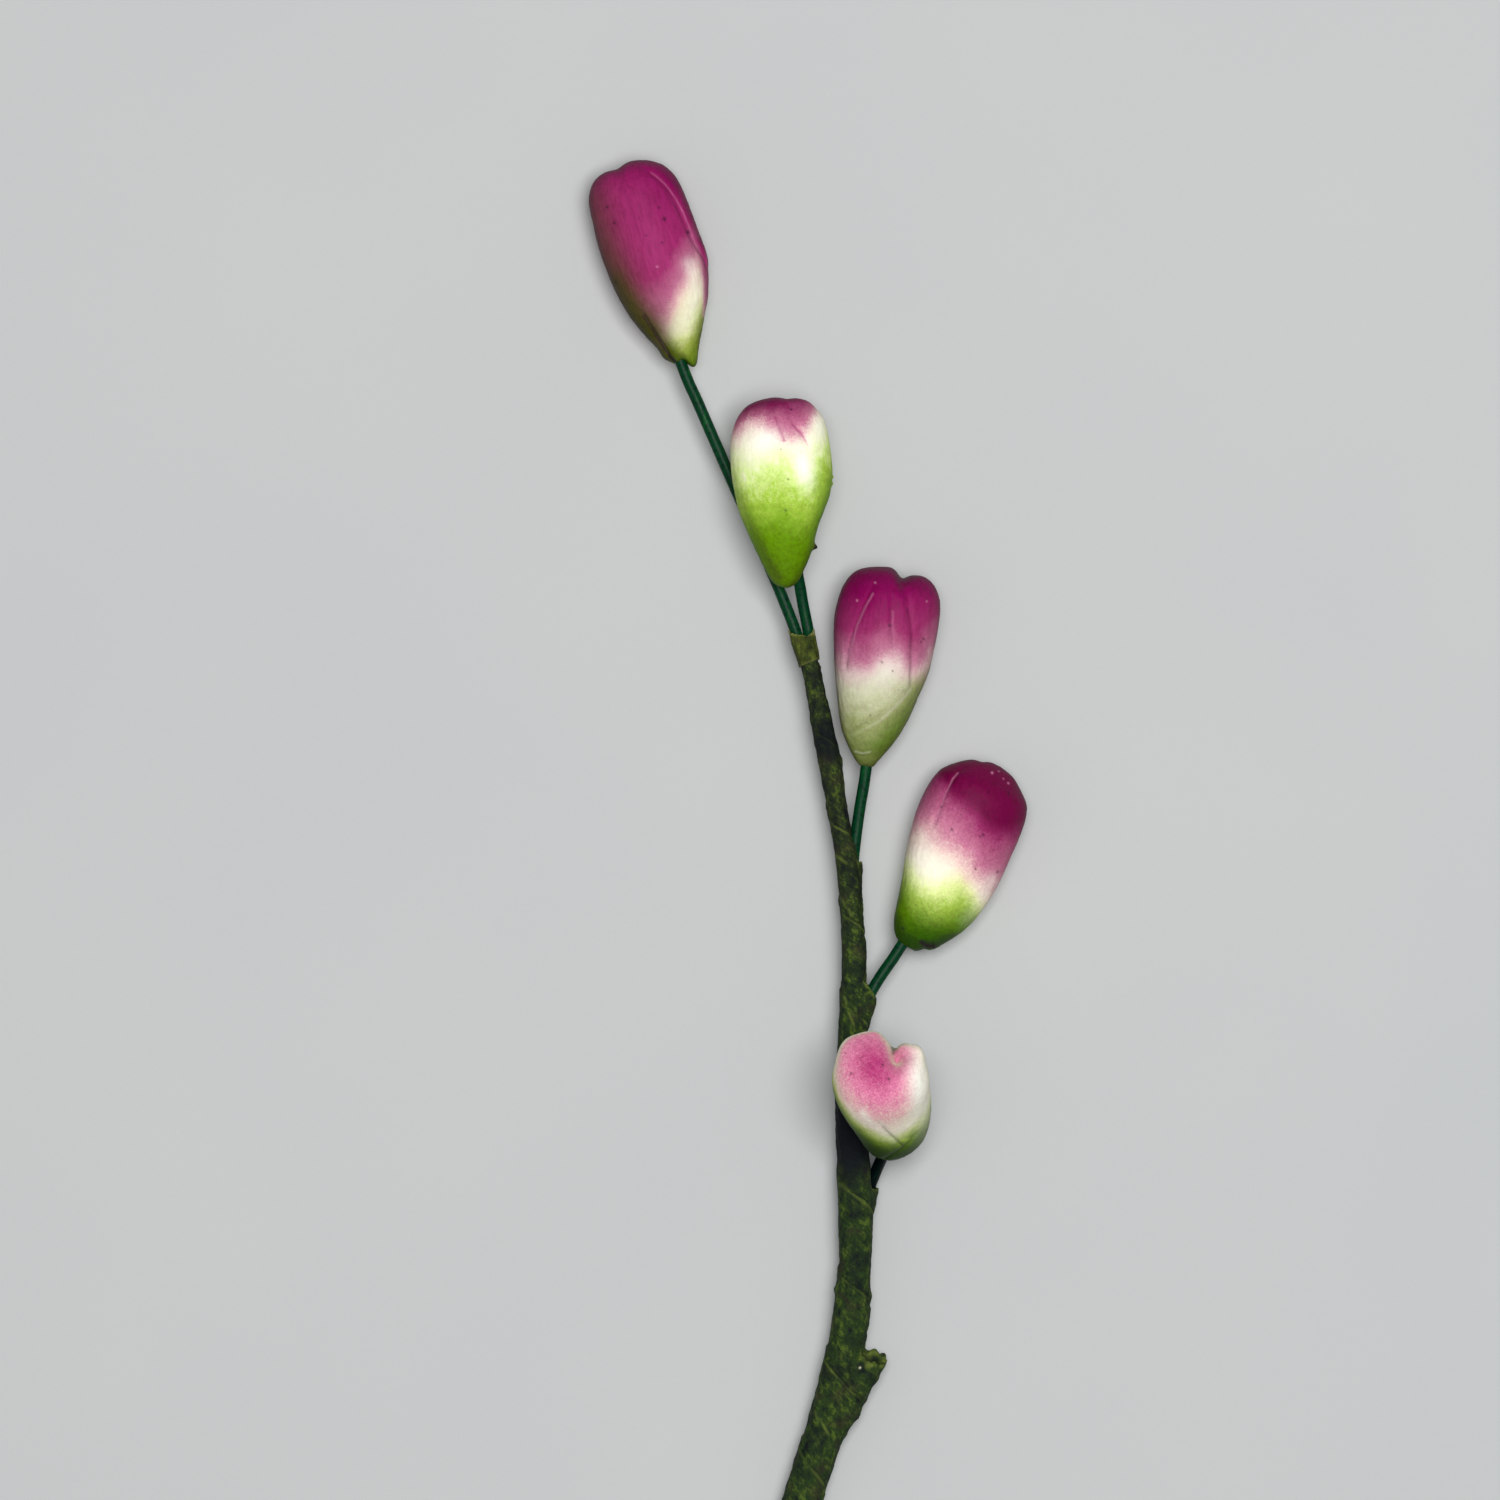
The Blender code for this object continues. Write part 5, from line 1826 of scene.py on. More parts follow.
BUD_4 = ClayBud(
    number=4, base=(11.0, 0.1, 4.85), tip=(19.1, 19.9, 4.85),
    sections=(
        (0.01, 1.6, 1.0), (0.05, 2.5, 2.15), (0.1, 3.0, 3.0), (0.2, 3.45, 4.4), (0.3, 3.9, 5.1),
        (0.45, 4.6, 5.65), (0.6, 5.1, 5.82), (0.75, 5.1, 5.88), (0.86, 4.6, 5.45), (0.93, 3.3, 4.0),
        (0.97, 2.1, 2.85),
    ),
    front=0.92, back=0.93,
    clefts=(Cleft(1.1, 0.5, 0.35, 0.07, at_tip=False), Cleft(-0.8, 0.7, 0.3, 0.2, back_only=True)),
    seams=(
        Seam(((0.62, 125.0), (0.76, 127.0), (0.9, 129.0)), 0.14, -0.14),
        Seam(((0.4, 238.0), (0.7, 246.0), (0.94, 264.0)), 0.2, 0.2),
        Seam(((0.35, 318.0), (0.65, 306.0), (0.94, 292.0)), 0.18, 0.16),
    ),
    paint=ClayPaint(
        "bud_4_paint", cream=(252, 244, 218), lime=(224, 238, 152), spring=(158, 188, 72), green=(92, 132, 4),
        base=(46, 86, 0), blush=(232, 196, 190), pink=(150, 42, 98), deep=(108, 0, 60), olive=(24, 38, 20),
        rim=(232, 230, 226), streaking=0.2,
    ),
    marks=(
        Sweep(Coat.PINK, (
            (10.5, 14.6), (12.7, 13.9), (14.0, 13.3), (14.9, 12.7), (15.9, 11.8), (16.7, 10.8), (17.4, 10.0),
            (18.2, 9.0), (19.1, 8.5), (20.0, 8.3), (22.5, 8.2),
        ), 11.6),
        Sweep(Coat.DEEP, (
            (12.5, 20.0), (13.6, 18.6), (14.4, 17.2), (15.2, 16.2), (16.2, 15.5), (17.0, 15.0), (17.7, 14.4),
            (18.3, 13.6), (19.1, 12.9), (19.9, 12.5), (21.2, 12.3), (23.0, 12.8),
        ), 2.2),
        # Pale paint with a painted highlight on the left of the body.
        Patch(Coat.PALE_AND_HIGHLIGHT, (12.0, 9.6), (1.6, 2.4), 0.0, 0.35),
        Sweep(Coat.GREEN, (
            (8.5, 9.6), (10.0, 8.2), (11.2, 6.2), (12.4, 5.3), (13.6, 5.0), (14.8, 5.4), (15.9, 5.8), (16.8, 5.4),
            (17.6, 4.4), (18.8, 2.4),
        ), 7.0, tipwards=False),
        Sweep(Coat.BASE, (
            (8.5, 2.6), (10.0, 3.0), (11.4, 3.5), (12.9, 3.5), (14.2, 2.8), (15.4, 1.6), (16.4, 0.6),
        ), 3.4, 0.95, tipwards=False),
        # Painted shade round the base, which turns away from the light.
        Stroke(Coat.OLIVE_AND_SHADE, ((9.4, 3.4), (9.9, 1.6), (11.6, 0.6), (13.4, 0.6), (15.2, 1.6)), 0.6, 0.5, 0.5),
        Stroke(Coat.PALE_AND_HIGHLIGHT, ((19.3, 7.4), (18.0, 4.9), (16.8, 3.2)), 0.9, 0.3, 0.1),
        # Painted highlight along the petal edge.
        Stroke(Coat.LIGHT, (
            (15.69, 18.68), (15.18, 18.09), (14.45, 16.62), (13.86, 15.01), (13.35, 13.55),
        ), 0.08, 0.6, 0.4),
        # Painted shade in the crease at the base.
        Stroke(Coat.DARK, ((11.9, 0.9), (12.5, 0.55), (13.2, 0.5)), 0.25, 0.9, 0.9),
    ),
    creases=(
        Crease(((15.8, 18.9), (15.18, 18.09), (14.45, 16.62), (13.86, 15.01), (13.3, 13.3)), 0.12, 0.03, 0.03),
        Crease(((11.6, 0.9), (12.4, 0.7), (13.3, 0.6)), 0.28, 0.2),
    ),
    specks=(
        (15.03, 12.77, 0.15), (18.33, 12.23, 0.15), (18.0, 12.05, 0.11), (17.53, 8.63, 0.12), (19.87, 8.3, 0.14),
        (9.9, 2.4, 0.13), (13.93, 15.11, 0.09), (21.01, 16.48, 0.11), (18.85, 16.7, 0.11),
    ),
    glints=((19.29, 18.72, 0.12), (19.99, 18.87, 0.08), (20.49, 18.09, 0.07), (21.0, 17.62, 0.1)),
)
BUD_5 = ClayBud(
    number=5, base=(8.8, -20.9, 5.2), tip=(7.1, -10.8, 20.6),
    sections=(
        (0.03, 1.2, 1.7), (0.1, 2.1, 2.9), (0.2, 2.85, 4.0), (0.35, 3.6, 4.6), (0.5, 4.35, 4.85),
        (0.65, 4.9, 5.0), (0.78, 5.0, 5.15), (0.88, 4.55, 4.8), (0.94, 3.75, 4.1), (0.975, 2.6, 2.85),
    ),
    front=0.98, back=0.98,
    clefts=(Cleft(1.75, 0.85, 1.8, 0.4, back_only=True), Cleft(3.4, 1.7, 1.25, 0.45, back_only=True)),
    seams=(
        Seam(((0.2, 110.0), (0.32, 80.0), (0.42, 60.0)), 0.25, 0.2),
        Seam(((0.3, 320.0), (0.6, 315.0), (0.94, 290.0)), 0.18, 0.16),
    ),
    paint=ClayPaint(
        "bud_5_paint", cream=(250, 246, 222), lime=(208, 222, 140), spring=(142, 170, 60), green=(84, 118, 6),
        base=(30, 58, 8), blush=(234, 196, 188), rose=(222, 132, 164), pink=(176, 52, 112), dark=(60, 34, 34),
        olive=(48, 56, 18), rim=(240, 238, 232), speckle=2.8, streaking=0.1,
    ),
    marks=(
        Sweep(Coat.PINK, (
            (-5.5, 15.0), (-3.0, 13.4), (0.0, 12.2), (2.0, 12.8), (3.6, 15.2), (5.5, 18.0),
        ), 7.0, 0.28, plane=Plane.LENGTH),
        Patch(Coat.PINK, (6.8, -11.8), (2.9, 4.0), 22.0, 0.7),
        Patch(Coat.PINK, (7.0, -12.2), (1.5, 2.4), 24.0, 0.4),
        Patch(Coat.PINK, (10.2, -10.9), (1.1, 1.3), 0.0, 0.3),
        Brim(Coat.PINK, -0.85, 0.12, 0.26),
        # Painted shade round the brim, where the surface turns away from the light.
        Brim(Coat.OLIVE_AND_SHADE, 0.3, -0.05, 0.12),
        # Painted highlight down the right flank.
        Patch(Coat.PALE_AND_HIGHLIGHT, (11.7, -13.9), (1.2, 3.7), 4.0, 1.0),
        Sweep(Coat.GREEN, (
            (-5.5, 15.6), (-4.0, 13.2), (-2.0, 10.2), (0.0, 8.8), (1.6, 8.6), (3.0, 9.2), (5.5, 9.6),
        ), 5.0, tipwards=False, plane=Plane.LENGTH),
        Sweep(Coat.BASE, (
            (-5.5, 9.2), (-2.0, 8.0), (1.5, 6.0), (3.5, 3.8), (5.5, 2.8),
        ), 4.4, 0.9, tipwards=False, plane=Plane.LENGTH),
        # Painted highlight on the lower ridge, with painted shade in the crease beside it.
        Stroke(Coat.PALE_AND_HIGHLIGHT, ((5.6, -16.6), (6.6, -17.8), (7.7, -18.8), (8.9, -19.6)), 0.4, 0.5, 0.2),
        Stroke(Coat.OLIVE_AND_SHADE, ((7.7, -18.1), (8.6, -19.0), (9.8, -20.1)), 0.14, 0.3, 0.7),
        # Painted shade in the notch at the tip.
        Stroke(Coat.DARK, ((8.75, -9.9), (8.85, -10.5)), 0.2, 0.7, 0.6),
        Stroke(Coat.OLIVE_AND_SHADE, ((9.0, -10.1), (9.5, -9.5), (10.6, -9.2)), 0.25, 0.6, 0.4),
    ),
    creases=(Crease(((7.1, -17.5), (7.7, -18.2), (8.5, -19.0), (9.9, -20.2)), 0.2, 0.06, -0.06),),
    pulls=(
        Pull((11.2, -10.4), 1.3, (0.35, 0.5)),
        Pull((9.4, -9.8), 0.7, (-0.1, -0.15)),
        Pull((4.4, -9.6), 1.7, (-0.4, 0.3)),
    ),
    specks=((4.4, -12.5, 0.13), (8.33, -13.07, 0.15), (7.7, -11.62, 0.12)),
)
BUDS = (BUD_1, BUD_2, BUD_3, BUD_4, BUD_5)


# Tape


@dataclass(frozen=True)
class Mouth:
    """A place where the tape opens round a wire that leaves the stem."""

    wire: str
    start: Point
    end: Point
    start_radius: float
    end_radius: float
    facing: Point
    stretch: Point
    rim: float = 0.08
    ragged: float = 0.12
    hollow: Optional[tuple[Point, Point, float, float]] = None
    cone_sides: int = 64
    cone_rows: int = 44
    slug_sides: int = 40
    slug_rows: int = 24
    even_grid: float = 0.12

    @property
    def outward(self) -> np.ndarray:
        """The way that it faces, 1 long."""
        return np.array(self.facing) / np.linalg.norm(self.facing)

    def cone(self, name: str, rows: tuple[Point, Point, float, float], ragged: float) -> bpy.types.Object:
        """A capped cone between two points, cut at its end to face the mouth's way.

        Args:
            name: The piece's name.
            rows: The start, the end and the radius at each.
            ragged: How far the rim rises and falls.

        Returns:
            The cone.
        """
        start, end, low, high = np.array(rows[0]), np.array(rows[1]), rows[2], rows[3]
        along = (end - start) / np.linalg.norm(end - start)
        side = np.cross(along, (0.0, 0.0, 1.0))
        side /= np.linalg.norm(side)
        over = np.cross(side, along)
        facing = self.outward

        def place(turns: np.ndarray, steps: np.ndarray) -> np.ndarray:
            """Lays the sheet round the cone.

            Args:
                turns: Shares of the way round.
                steps: Steps of the way along.

            Returns:
                One point for each.
            """
            share = steps / self.cone_rows
            angle = 2 * math.pi * (turns % 1.0)
            radius = low + (high - low) * share + self.rim * bell(1 - share, 0.07)
            spread = side * np.cos(angle)[:, None] + over * np.sin(angle)[:, None]
            point = start + (end - start) * share[:, None] + spread * radius[:, None]
            lean = ((point - end) @ facing) / (along @ facing)
            point -= along * (lean * eased((share - 0.55) / 0.45))[:, None] * (share > 0.55)[:, None]
            tear = np.sin(3 * angle + 1.0) * 0.5 + np.sin(7 * angle) * 0.3 + np.sin(13 * angle + 2) * 0.2
            return point + along * (ragged * tear * eased((share - 0.8) / 0.2))[:, None]

        return Bench.rolled(name, self.cone_sides, self.cone_rows, place)

    def body(self, sections: SmoothCurve, squared: float) -> bpy.types.Object:
        """The outside of the mouth: tape stretched from the stem over a cone round the wire.

        Args:
            sections: The stem's half-width and half-depth by height.
            squared: How boxy its section is.

        Returns:
            The body, even all over and torn at its rim.
        """
        facing = self.outward
        rows = (self.start, self.end, self.start_radius, self.end_radius)
        cone = self.cone("mouth_" + self.wire, rows, 0.0)
        low, high = self.start[1] - 0.3, self.end[1] + 3.0

        def place(turns: np.ndarray, steps: np.ndarray) -> np.ndarray:
            """Lays the sheet round the stem, up to the mouth's rim.

            Args:
                turns: Shares of the way round.
                steps: Steps of the way along.

            Returns:
                One point for each.
            """
            height = low + (high - low) * steps / self.slug_rows
            wide, deep = sections.at(height).T
            points = SPINE.section(height, wide - 0.1, deep - 0.1, turns * 360, squared)
            _, up, _, _ = SPINE.frames(height)
            past = (points - np.array(self.end)) @ facing + 0.12
            return points - up * (np.maximum(past, 0.0) / (up @ facing))[:, None]

        slug = Bench.rolled("slug", self.slug_sides, self.slug_rows, place)
        Bench.take(cone)
        slug.select_set(True)
        bpy.ops.object.join()
        bpy.ops.object.mode_set(mode="EDIT")
        bpy.ops.mesh.select_all(action="SELECT")
        bpy.ops.mesh.convex_hull()
        bpy.ops.object.mode_set(mode="OBJECT")
        modifier = cone.modifiers.new("even", "REMESH")
        modifier.voxel_size = self.even_grid * MM
        bpy.ops.object.modifier_apply(modifier=modifier.name)
        places = Bench.points(cone)
        past = (places - np.array(self.end)) @ facing
        tear = self.ragged * grain(places * np.array((1.0, 0.3, 1.0)), (1.3, 1.3, 1.3), 3)
        Bench.move_to(cone, places + (tear * eased((past + 0.4) / 0.4))[:, None] * facing)
        return cone


@dataclass(frozen=True)
class StemTape:
    """The crepe strip wound round the wires, with its laps, mouths and torn stub."""

    sections: Rows = (
        (-90.0, 2.05, 2.3), (-52.0, 2.03, 2.3), (-42.0, 1.93, 2.3), (-37.0, 1.87, 2.3), (-33.5, 1.70, 2.3),
        (-27.0, 1.78, 2.3), (-20.0, 1.65, 2.05), (-14.6, 1.52, 2.02), (-8.3, 1.46, 2.05), (-3.0, 1.28, 2.2),
        (6.0, 1.15, 2.2), (10.0, 1.12, 2.1), (12.5, 1.02, 1.9), (16.0, 1.06, 1.7), (20.0, 1.16, 1.68),
        (24.0, 1.08, 1.68), (28.0, 0.95, 1.68), (34.0, 0.9, 1.68),
    )
    cut_end: float = -82.8
    top_end: float = 30.45
    wall: float = 0.24
    pitch: float = 9.6
    lap: float = 0.12
    lap_front: float = -6.2
    squared: float = 3.0
    channel_squared: float = 3.6
    foot_slant: float = 0.42
    sides: int = 90
    rows_a_turn: int = 58
    crinkle: float = 0.11
    mouths: tuple[Mouth, ...] = (
        Mouth("wire_3", (4.62, 4.5, 4.5), (4.78, 9.4, 4.66), 0.8, 0.86, (0.0, 1.0, 0.0), (3.5, 16.0), 0.03),
        Mouth("wire_4", (5.2, -8.6, 5.1), (6.55, -4.0, 5.1), 0.74, 1.0, (0.8, 0.6, 0.0), (-12.0, -1.5), 0.1),
        Mouth("wire_5", (5.6, -28.2, 2.6), (6.55, -24.9, 2.85), 0.72, 0.9, (0.2, 1.0, 0.0), (-31.0, -22.5), 0.05),
        Mouth(
            "cut_wire", (2.5, -51.5, 3.75), (6.88, -42.8, 3.75), 0.9, 1.3, (0.3, 0.9, 0.4), (-54.0, -44.0),
            0.2, 0.42, ((5.6, -46.2, 3.75), (7.15, -42.1, 3.75), 0.74, 1.08),
        ),
    )
    ridges: tuple[tuple[Rows, float], ...] = (
        (((3.47, -24.5), (6.7, -27.1)), 0.03),
        (((0.7, -48.4), (2.2, -50.8)), 0.08),
        (((3.4, 5.6), (4.6, 3.7)), 0.05),
        (((2.9, 10.0), (4.6, 8.9)), 0.05),
        (((3.8, -4.8), (4.1, -6.0), (4.8, -7.8)), 0.1),
    )
    grooves: tuple[tuple[Rows, float], ...] = (
        (((2.1, -42.7), (4.6, -46.1)), 0.1),
        (((3.9, -33.7), (6.7, -36.5)), 0.08),
        (((4.4, -43.2), (4.5, -45.0), (5.3, -47.2)), 0.12),
        (((5.3, -5.4), (5.5, -7.0), (6.0, -8.6)), 0.08),
    )
    # Painted shade on the stem: the shadow that bud 5 casts below it, and a darker band beside bud 3's base.
    painted_shade_places: Rows = ((4.6, -18.2, 3.4, 6.1, 1.0), (1.9, 22.2, 2.4, 2.2, 0.8))
    lumps: Rows = (
        (3.15, -32.7, 0.4, -0.28), (3.0, -35.6, 0.4, 0.2), (6.7, -36.3, 0.4, 0.2), (5.1, -48.6, 0.8, 0.2),
        (6.6, -44.6, 0.5, 0.15),
    )
    ridge_width: float = 0.2
    groove_width: float = 0.22
    torn_reach: float = 2.0
    torn_lumps: float = 0.16
    turn_length: float = 12.5
    # Where the painted glint of the cut wire's steel shows through a tear.
    fleck: Point = (5.45, -43.75)
    glint_above: float = 4.0
    fresh_below: float = 16.0
    fresh_over: float = 30.0

    def wound(self) -> bpy.types.Object:
        """Winds the strip's outside as one closed body.

        Returns:
            The body, cut at both ends.
        """
        widths = SmoothCurve(self.sections)
        first = math.floor((self.cut_end - self.lap_front) / self.pitch) - 1
        last = math.ceil((self.top_end - self.lap_front) / self.pitch) + 1
        count = (last - first + 1) * self.rows_a_turn

        def place(turns: np.ndarray, steps: np.ndarray) -> np.ndarray:
            """Winds the sheet up the stem.

            Args:
                turns: Shares of the way round.
                steps: Steps of the way along.

            Returns:
                One point for each.
            """
            climb = steps / self.rows_a_turn
            share = climb % 1.0
            height = self.lap_front + self.pitch * (first + climb + turns - 0.25)
            wide, deep = widths.at(height).T
            edge = 1.0 - 1.0 / self.rows_a_turn
            lift = self.lap * (np.minimum(share / edge, 1.0) - 0.5)
            lift = lift + 0.03 * bell(share - edge, 0.03)
            points = SPINE.section(height, wide + lift, deep + lift, turns * 360, self.squared)
            points[:, 2] = np.maximum(points[:, 2], 0.0)
            return points

        piece = Bench.rolled("stem_tape_wound", self.sides, count, place)
        middle, up, _, _ = SPINE.frames(np.array([self.cut_end, self.top_end]))
        Bench.trim(piece, middle[0], -up[0])
        Bench.trim(piece, middle[1], (-self.foot_slant, 1.0, 0.0))
        return piece

    def channel(self) -> bpy.types.Object:
        """Fills the room for the wires at the cut end.

        Returns:
            The filling.
        """
        widths = SmoothCurve(self.sections)

        def place(turns: np.ndarray, steps: np.ndarray) -> np.ndarray:
            """Lays the sheet inside the tape.

            Args:
                turns: Shares of the way round.
                steps: Steps of the way along.

            Returns:
                One point for each.
            """
            height = self.cut_end - 2.0 + steps
            wide, deep = widths.at(height).T
            return SPINE.section(height, wide - self.wall, deep - self.wall, turns * 360, self.channel_squared)

        return Bench.rolled("channel", 48, 9, place)

    def opened(self, piece: bpy.types.Object, wires: Mapping[str, Wire]) -> None:
        """Adds the mouths and opens them for their wires.

        Args:
            piece: The wound strip.
            wires: The wires by name.
        """
        for mouth in self.mouths:
            Bench.combine(piece, mouth.body(SmoothCurve(self.sections), self.squared), "UNION")
        places = Bench.points(piece)
        near = np.zeros(len(places), bool)
        for mouth in self.mouths:
            distance, share, _ = Trail((mouth.start, mouth.end)).nearest(places)
            near |= (distance < mouth.end_radius + 1.1) & (share < 0.9)
        Bench.soften(piece, near, 14)
        for mouth in self.mouths:
            wire = wires[mouth.wire]
            line = wire.centre_line(0.5)
            low, high = mouth.stretch
            line = line[(line[:, 1] > low) & (line[:, 1] < high)]
            room = wire.tube("room", line, np.full(len(line), WIRE_RADIUS + 0.1), 32)
            Bench.combine(piece, room, "DIFFERENCE")
            if mouth.hollow:
                Bench.combine(piece, mouth.cone("hollow", mouth.hollow, 0.0), "DIFFERENCE")
        Bench.combine(piece, self.channel(), "DIFFERENCE")

    def crinkled(self, piece: bpy.types.Object) -> None:
        """Presses the crepe's crinkles, ridges and nicks into the surface.

        Args:
            piece: The opened strip.
        """
        places = Bench.points(piece)
        heights, turns = SPINE.unwound(places)
        strip = self.strip(heights, turns)
        relief = self.crinkle * grain(strip, (0.45, 1.3, 0.45))
        relief = relief + 0.8 * self.crinkle * grain(places, (1.1, 0.8, 1.1))
        upward = eased(Bench.normals(piece)[:, 2] * 3 + 0.5)
        for points, height in self.ridges:
            distance, _, _ = Trail(points).nearest(places[:, :2])
            relief = relief + height * bell(distance, self.ridge_width) * upward
        for points, depth in self.grooves:
            distance, _, _ = Trail(points).nearest(places[:, :2])
            relief = relief - depth * bell(distance, self.groove_width) * upward
        for x, y, radius, height in self.lumps:
            away = np.hypot(places[:, 0] - x, places[:, 1] - y)
            relief = relief + height * bell(away, radius)
        torn = self.mouths[-1]
        distance, share, _ = Trail((torn.start, torn.end)).nearest(places)
        rough = bell(distance, self.torn_reach) * eased(share / 0.3)
        relief = relief + self.torn_lumps * rough * grain(places, (0.9, 0.9, 0.9))
        Bench.push(piece, relief)

    def climb(self, heights: np.ndarray, turns: np.ndarray) -> np.ndarray:
        """How many windings lie below each place."""
        return (heights - self.lap_front) / self.pitch - (turns % 360) / 360 + 0.25

    def strip(self, heights: np.ndarray, turns: np.ndarray) -> np.ndarray:
        """Finds places on the unwound strip.

        Args:
            heights: The heights along the stem.
            turns: The angles round it.

        Returns:
            Across the strip and along it, for each.
        """
        climb = self.climb(heights, turns)
        along = (turns % 360) / 360 * self.turn_length + np.floor(climb) * self.turn_length
        across = (climb % 1.0) * self.pitch
        return np.stack([across, along, np.zeros(len(heights))], axis=1)

    def dressed(self, piece: bpy.types.Object) -> None:
        """Stores what the finish reads: painted highlights and lighter rims along edges, painted shade in gaps,
        grooves, hollows and shadows, the painted glint of the cut wire's steel and the fresh green stretch.

        Args:
            piece: The crinkled strip.
        """
        places = Bench.points(piece)
        heights, turns = SPINE.unwound(places)
        share = self.climb(heights, turns) % 1.0
        wander = eased(0.5 + 0.8 * grain(places, (0.35, 0.35, 0.35), 2))
        patchy = eased(0.6 + 0.9 * grain(places, (1.3, 1.3, 1.3), 2))
        facing = Bench.normals(piece)
        upward = eased(facing[:, 2] * 3 + 0.5)
        # Painted highlight along the raised upper edge of each lap, and painted shade just above it where the
        # surface steps down.
        edge = 0.7 * bell(share - 0.975, 0.014) * wander
        gap = 0.6 * bell(share - 0.004, 0.014) * wander
        # Painted highlight on the side of each ridge that faces up.
        for points, _ in self.ridges:
            distance, _, _ = Trail(points).nearest(places[:, :2])
            edge = np.maximum(edge, 0.6 * bell(distance, 0.14) * upward * patchy)
        # Painted shade in each groove.
        for points, _ in self.grooves:
            distance, _, _ = Trail(points).nearest(places[:, :2])
            gap = np.maximum(gap, 0.75 * bell(distance, 0.26) * upward * patchy)
        # Each mouth gets a lighter rim, and painted shade inside its hollow.
        for mouth in self.mouths:
            start, end = np.array(mouth.start), np.array(mouth.end)
            past = (places - end) @ mouth.outward
            close = np.linalg.norm(places - end, axis=1) < mouth.end_radius + 0.75
            edge = np.maximum(edge, 0.8 * bell(past, 0.6 if mouth.hollow else 0.22) * close * patchy)
            along = (end - start) / np.linalg.norm(end - start)
            away = places - start - ((places - start) @ along)[:, None] * along
            inside = (np.einsum("ij,ij->i", away, facing) < -0.1) & close
            gap = np.maximum(gap, (0.3 if mouth.hollow else 0.95) * inside * eased(-past / 0.25))
        # The painted glint of the cut wire's steel in a tear, ringed by painted shade.
        away = np.hypot(places[:, 0] - self.fleck[0], places[:, 1] - self.fleck[1])
        above = places[:, 2] > self.glint_above
        fleck = bell(away, 0.1) * above
        gap = np.maximum(gap, 0.8 * bell(away, 0.4) * above)
        # Painted shade: the shadow of bud 5 on the stem, and the darker band beside bud 3's base.
        for x, y, wide, tall, strength in self.painted_shade_places:
            away = np.hypot((places[:, 0] - x) / wide, (places[:, 1] - y) / tall)
            gap = np.maximum(gap, strength * bell(away**3, 1.0))
        # Painted highlights on lap edges and ridges, and lighter rims round the mouths.
        Bench.store(piece, "edge", edge)
        # Painted shade: under the laps, in the grooves and hollows, round the tear and under the buds.
        Bench.store(piece, "gap", gap)
        # The painted glint of the cut wire's steel.
        Bench.store(piece, "fleck", fleck)
        Bench.store(piece, "fresh", eased((self.fresh_below - heights) / self.fresh_over))
        Bench.store(piece, "flow", self.strip(heights, turns))

    def build(self, wires: Mapping[str, Wire], tape: bpy.types.Material) -> bpy.types.Object:
        """Makes the wound tape in place of its CAD node.

        Args:
            wires: The wires by name.
            tape: Its finish.

        Returns:
            The tape.
        """
        piece = self.wound()
        self.opened(piece, wires)
        self.crinkled(piece)
        self.dressed(piece)
        Bench.hand_over(piece, "stem_tape", "olive_tape", tape, 50.0)
        return piece


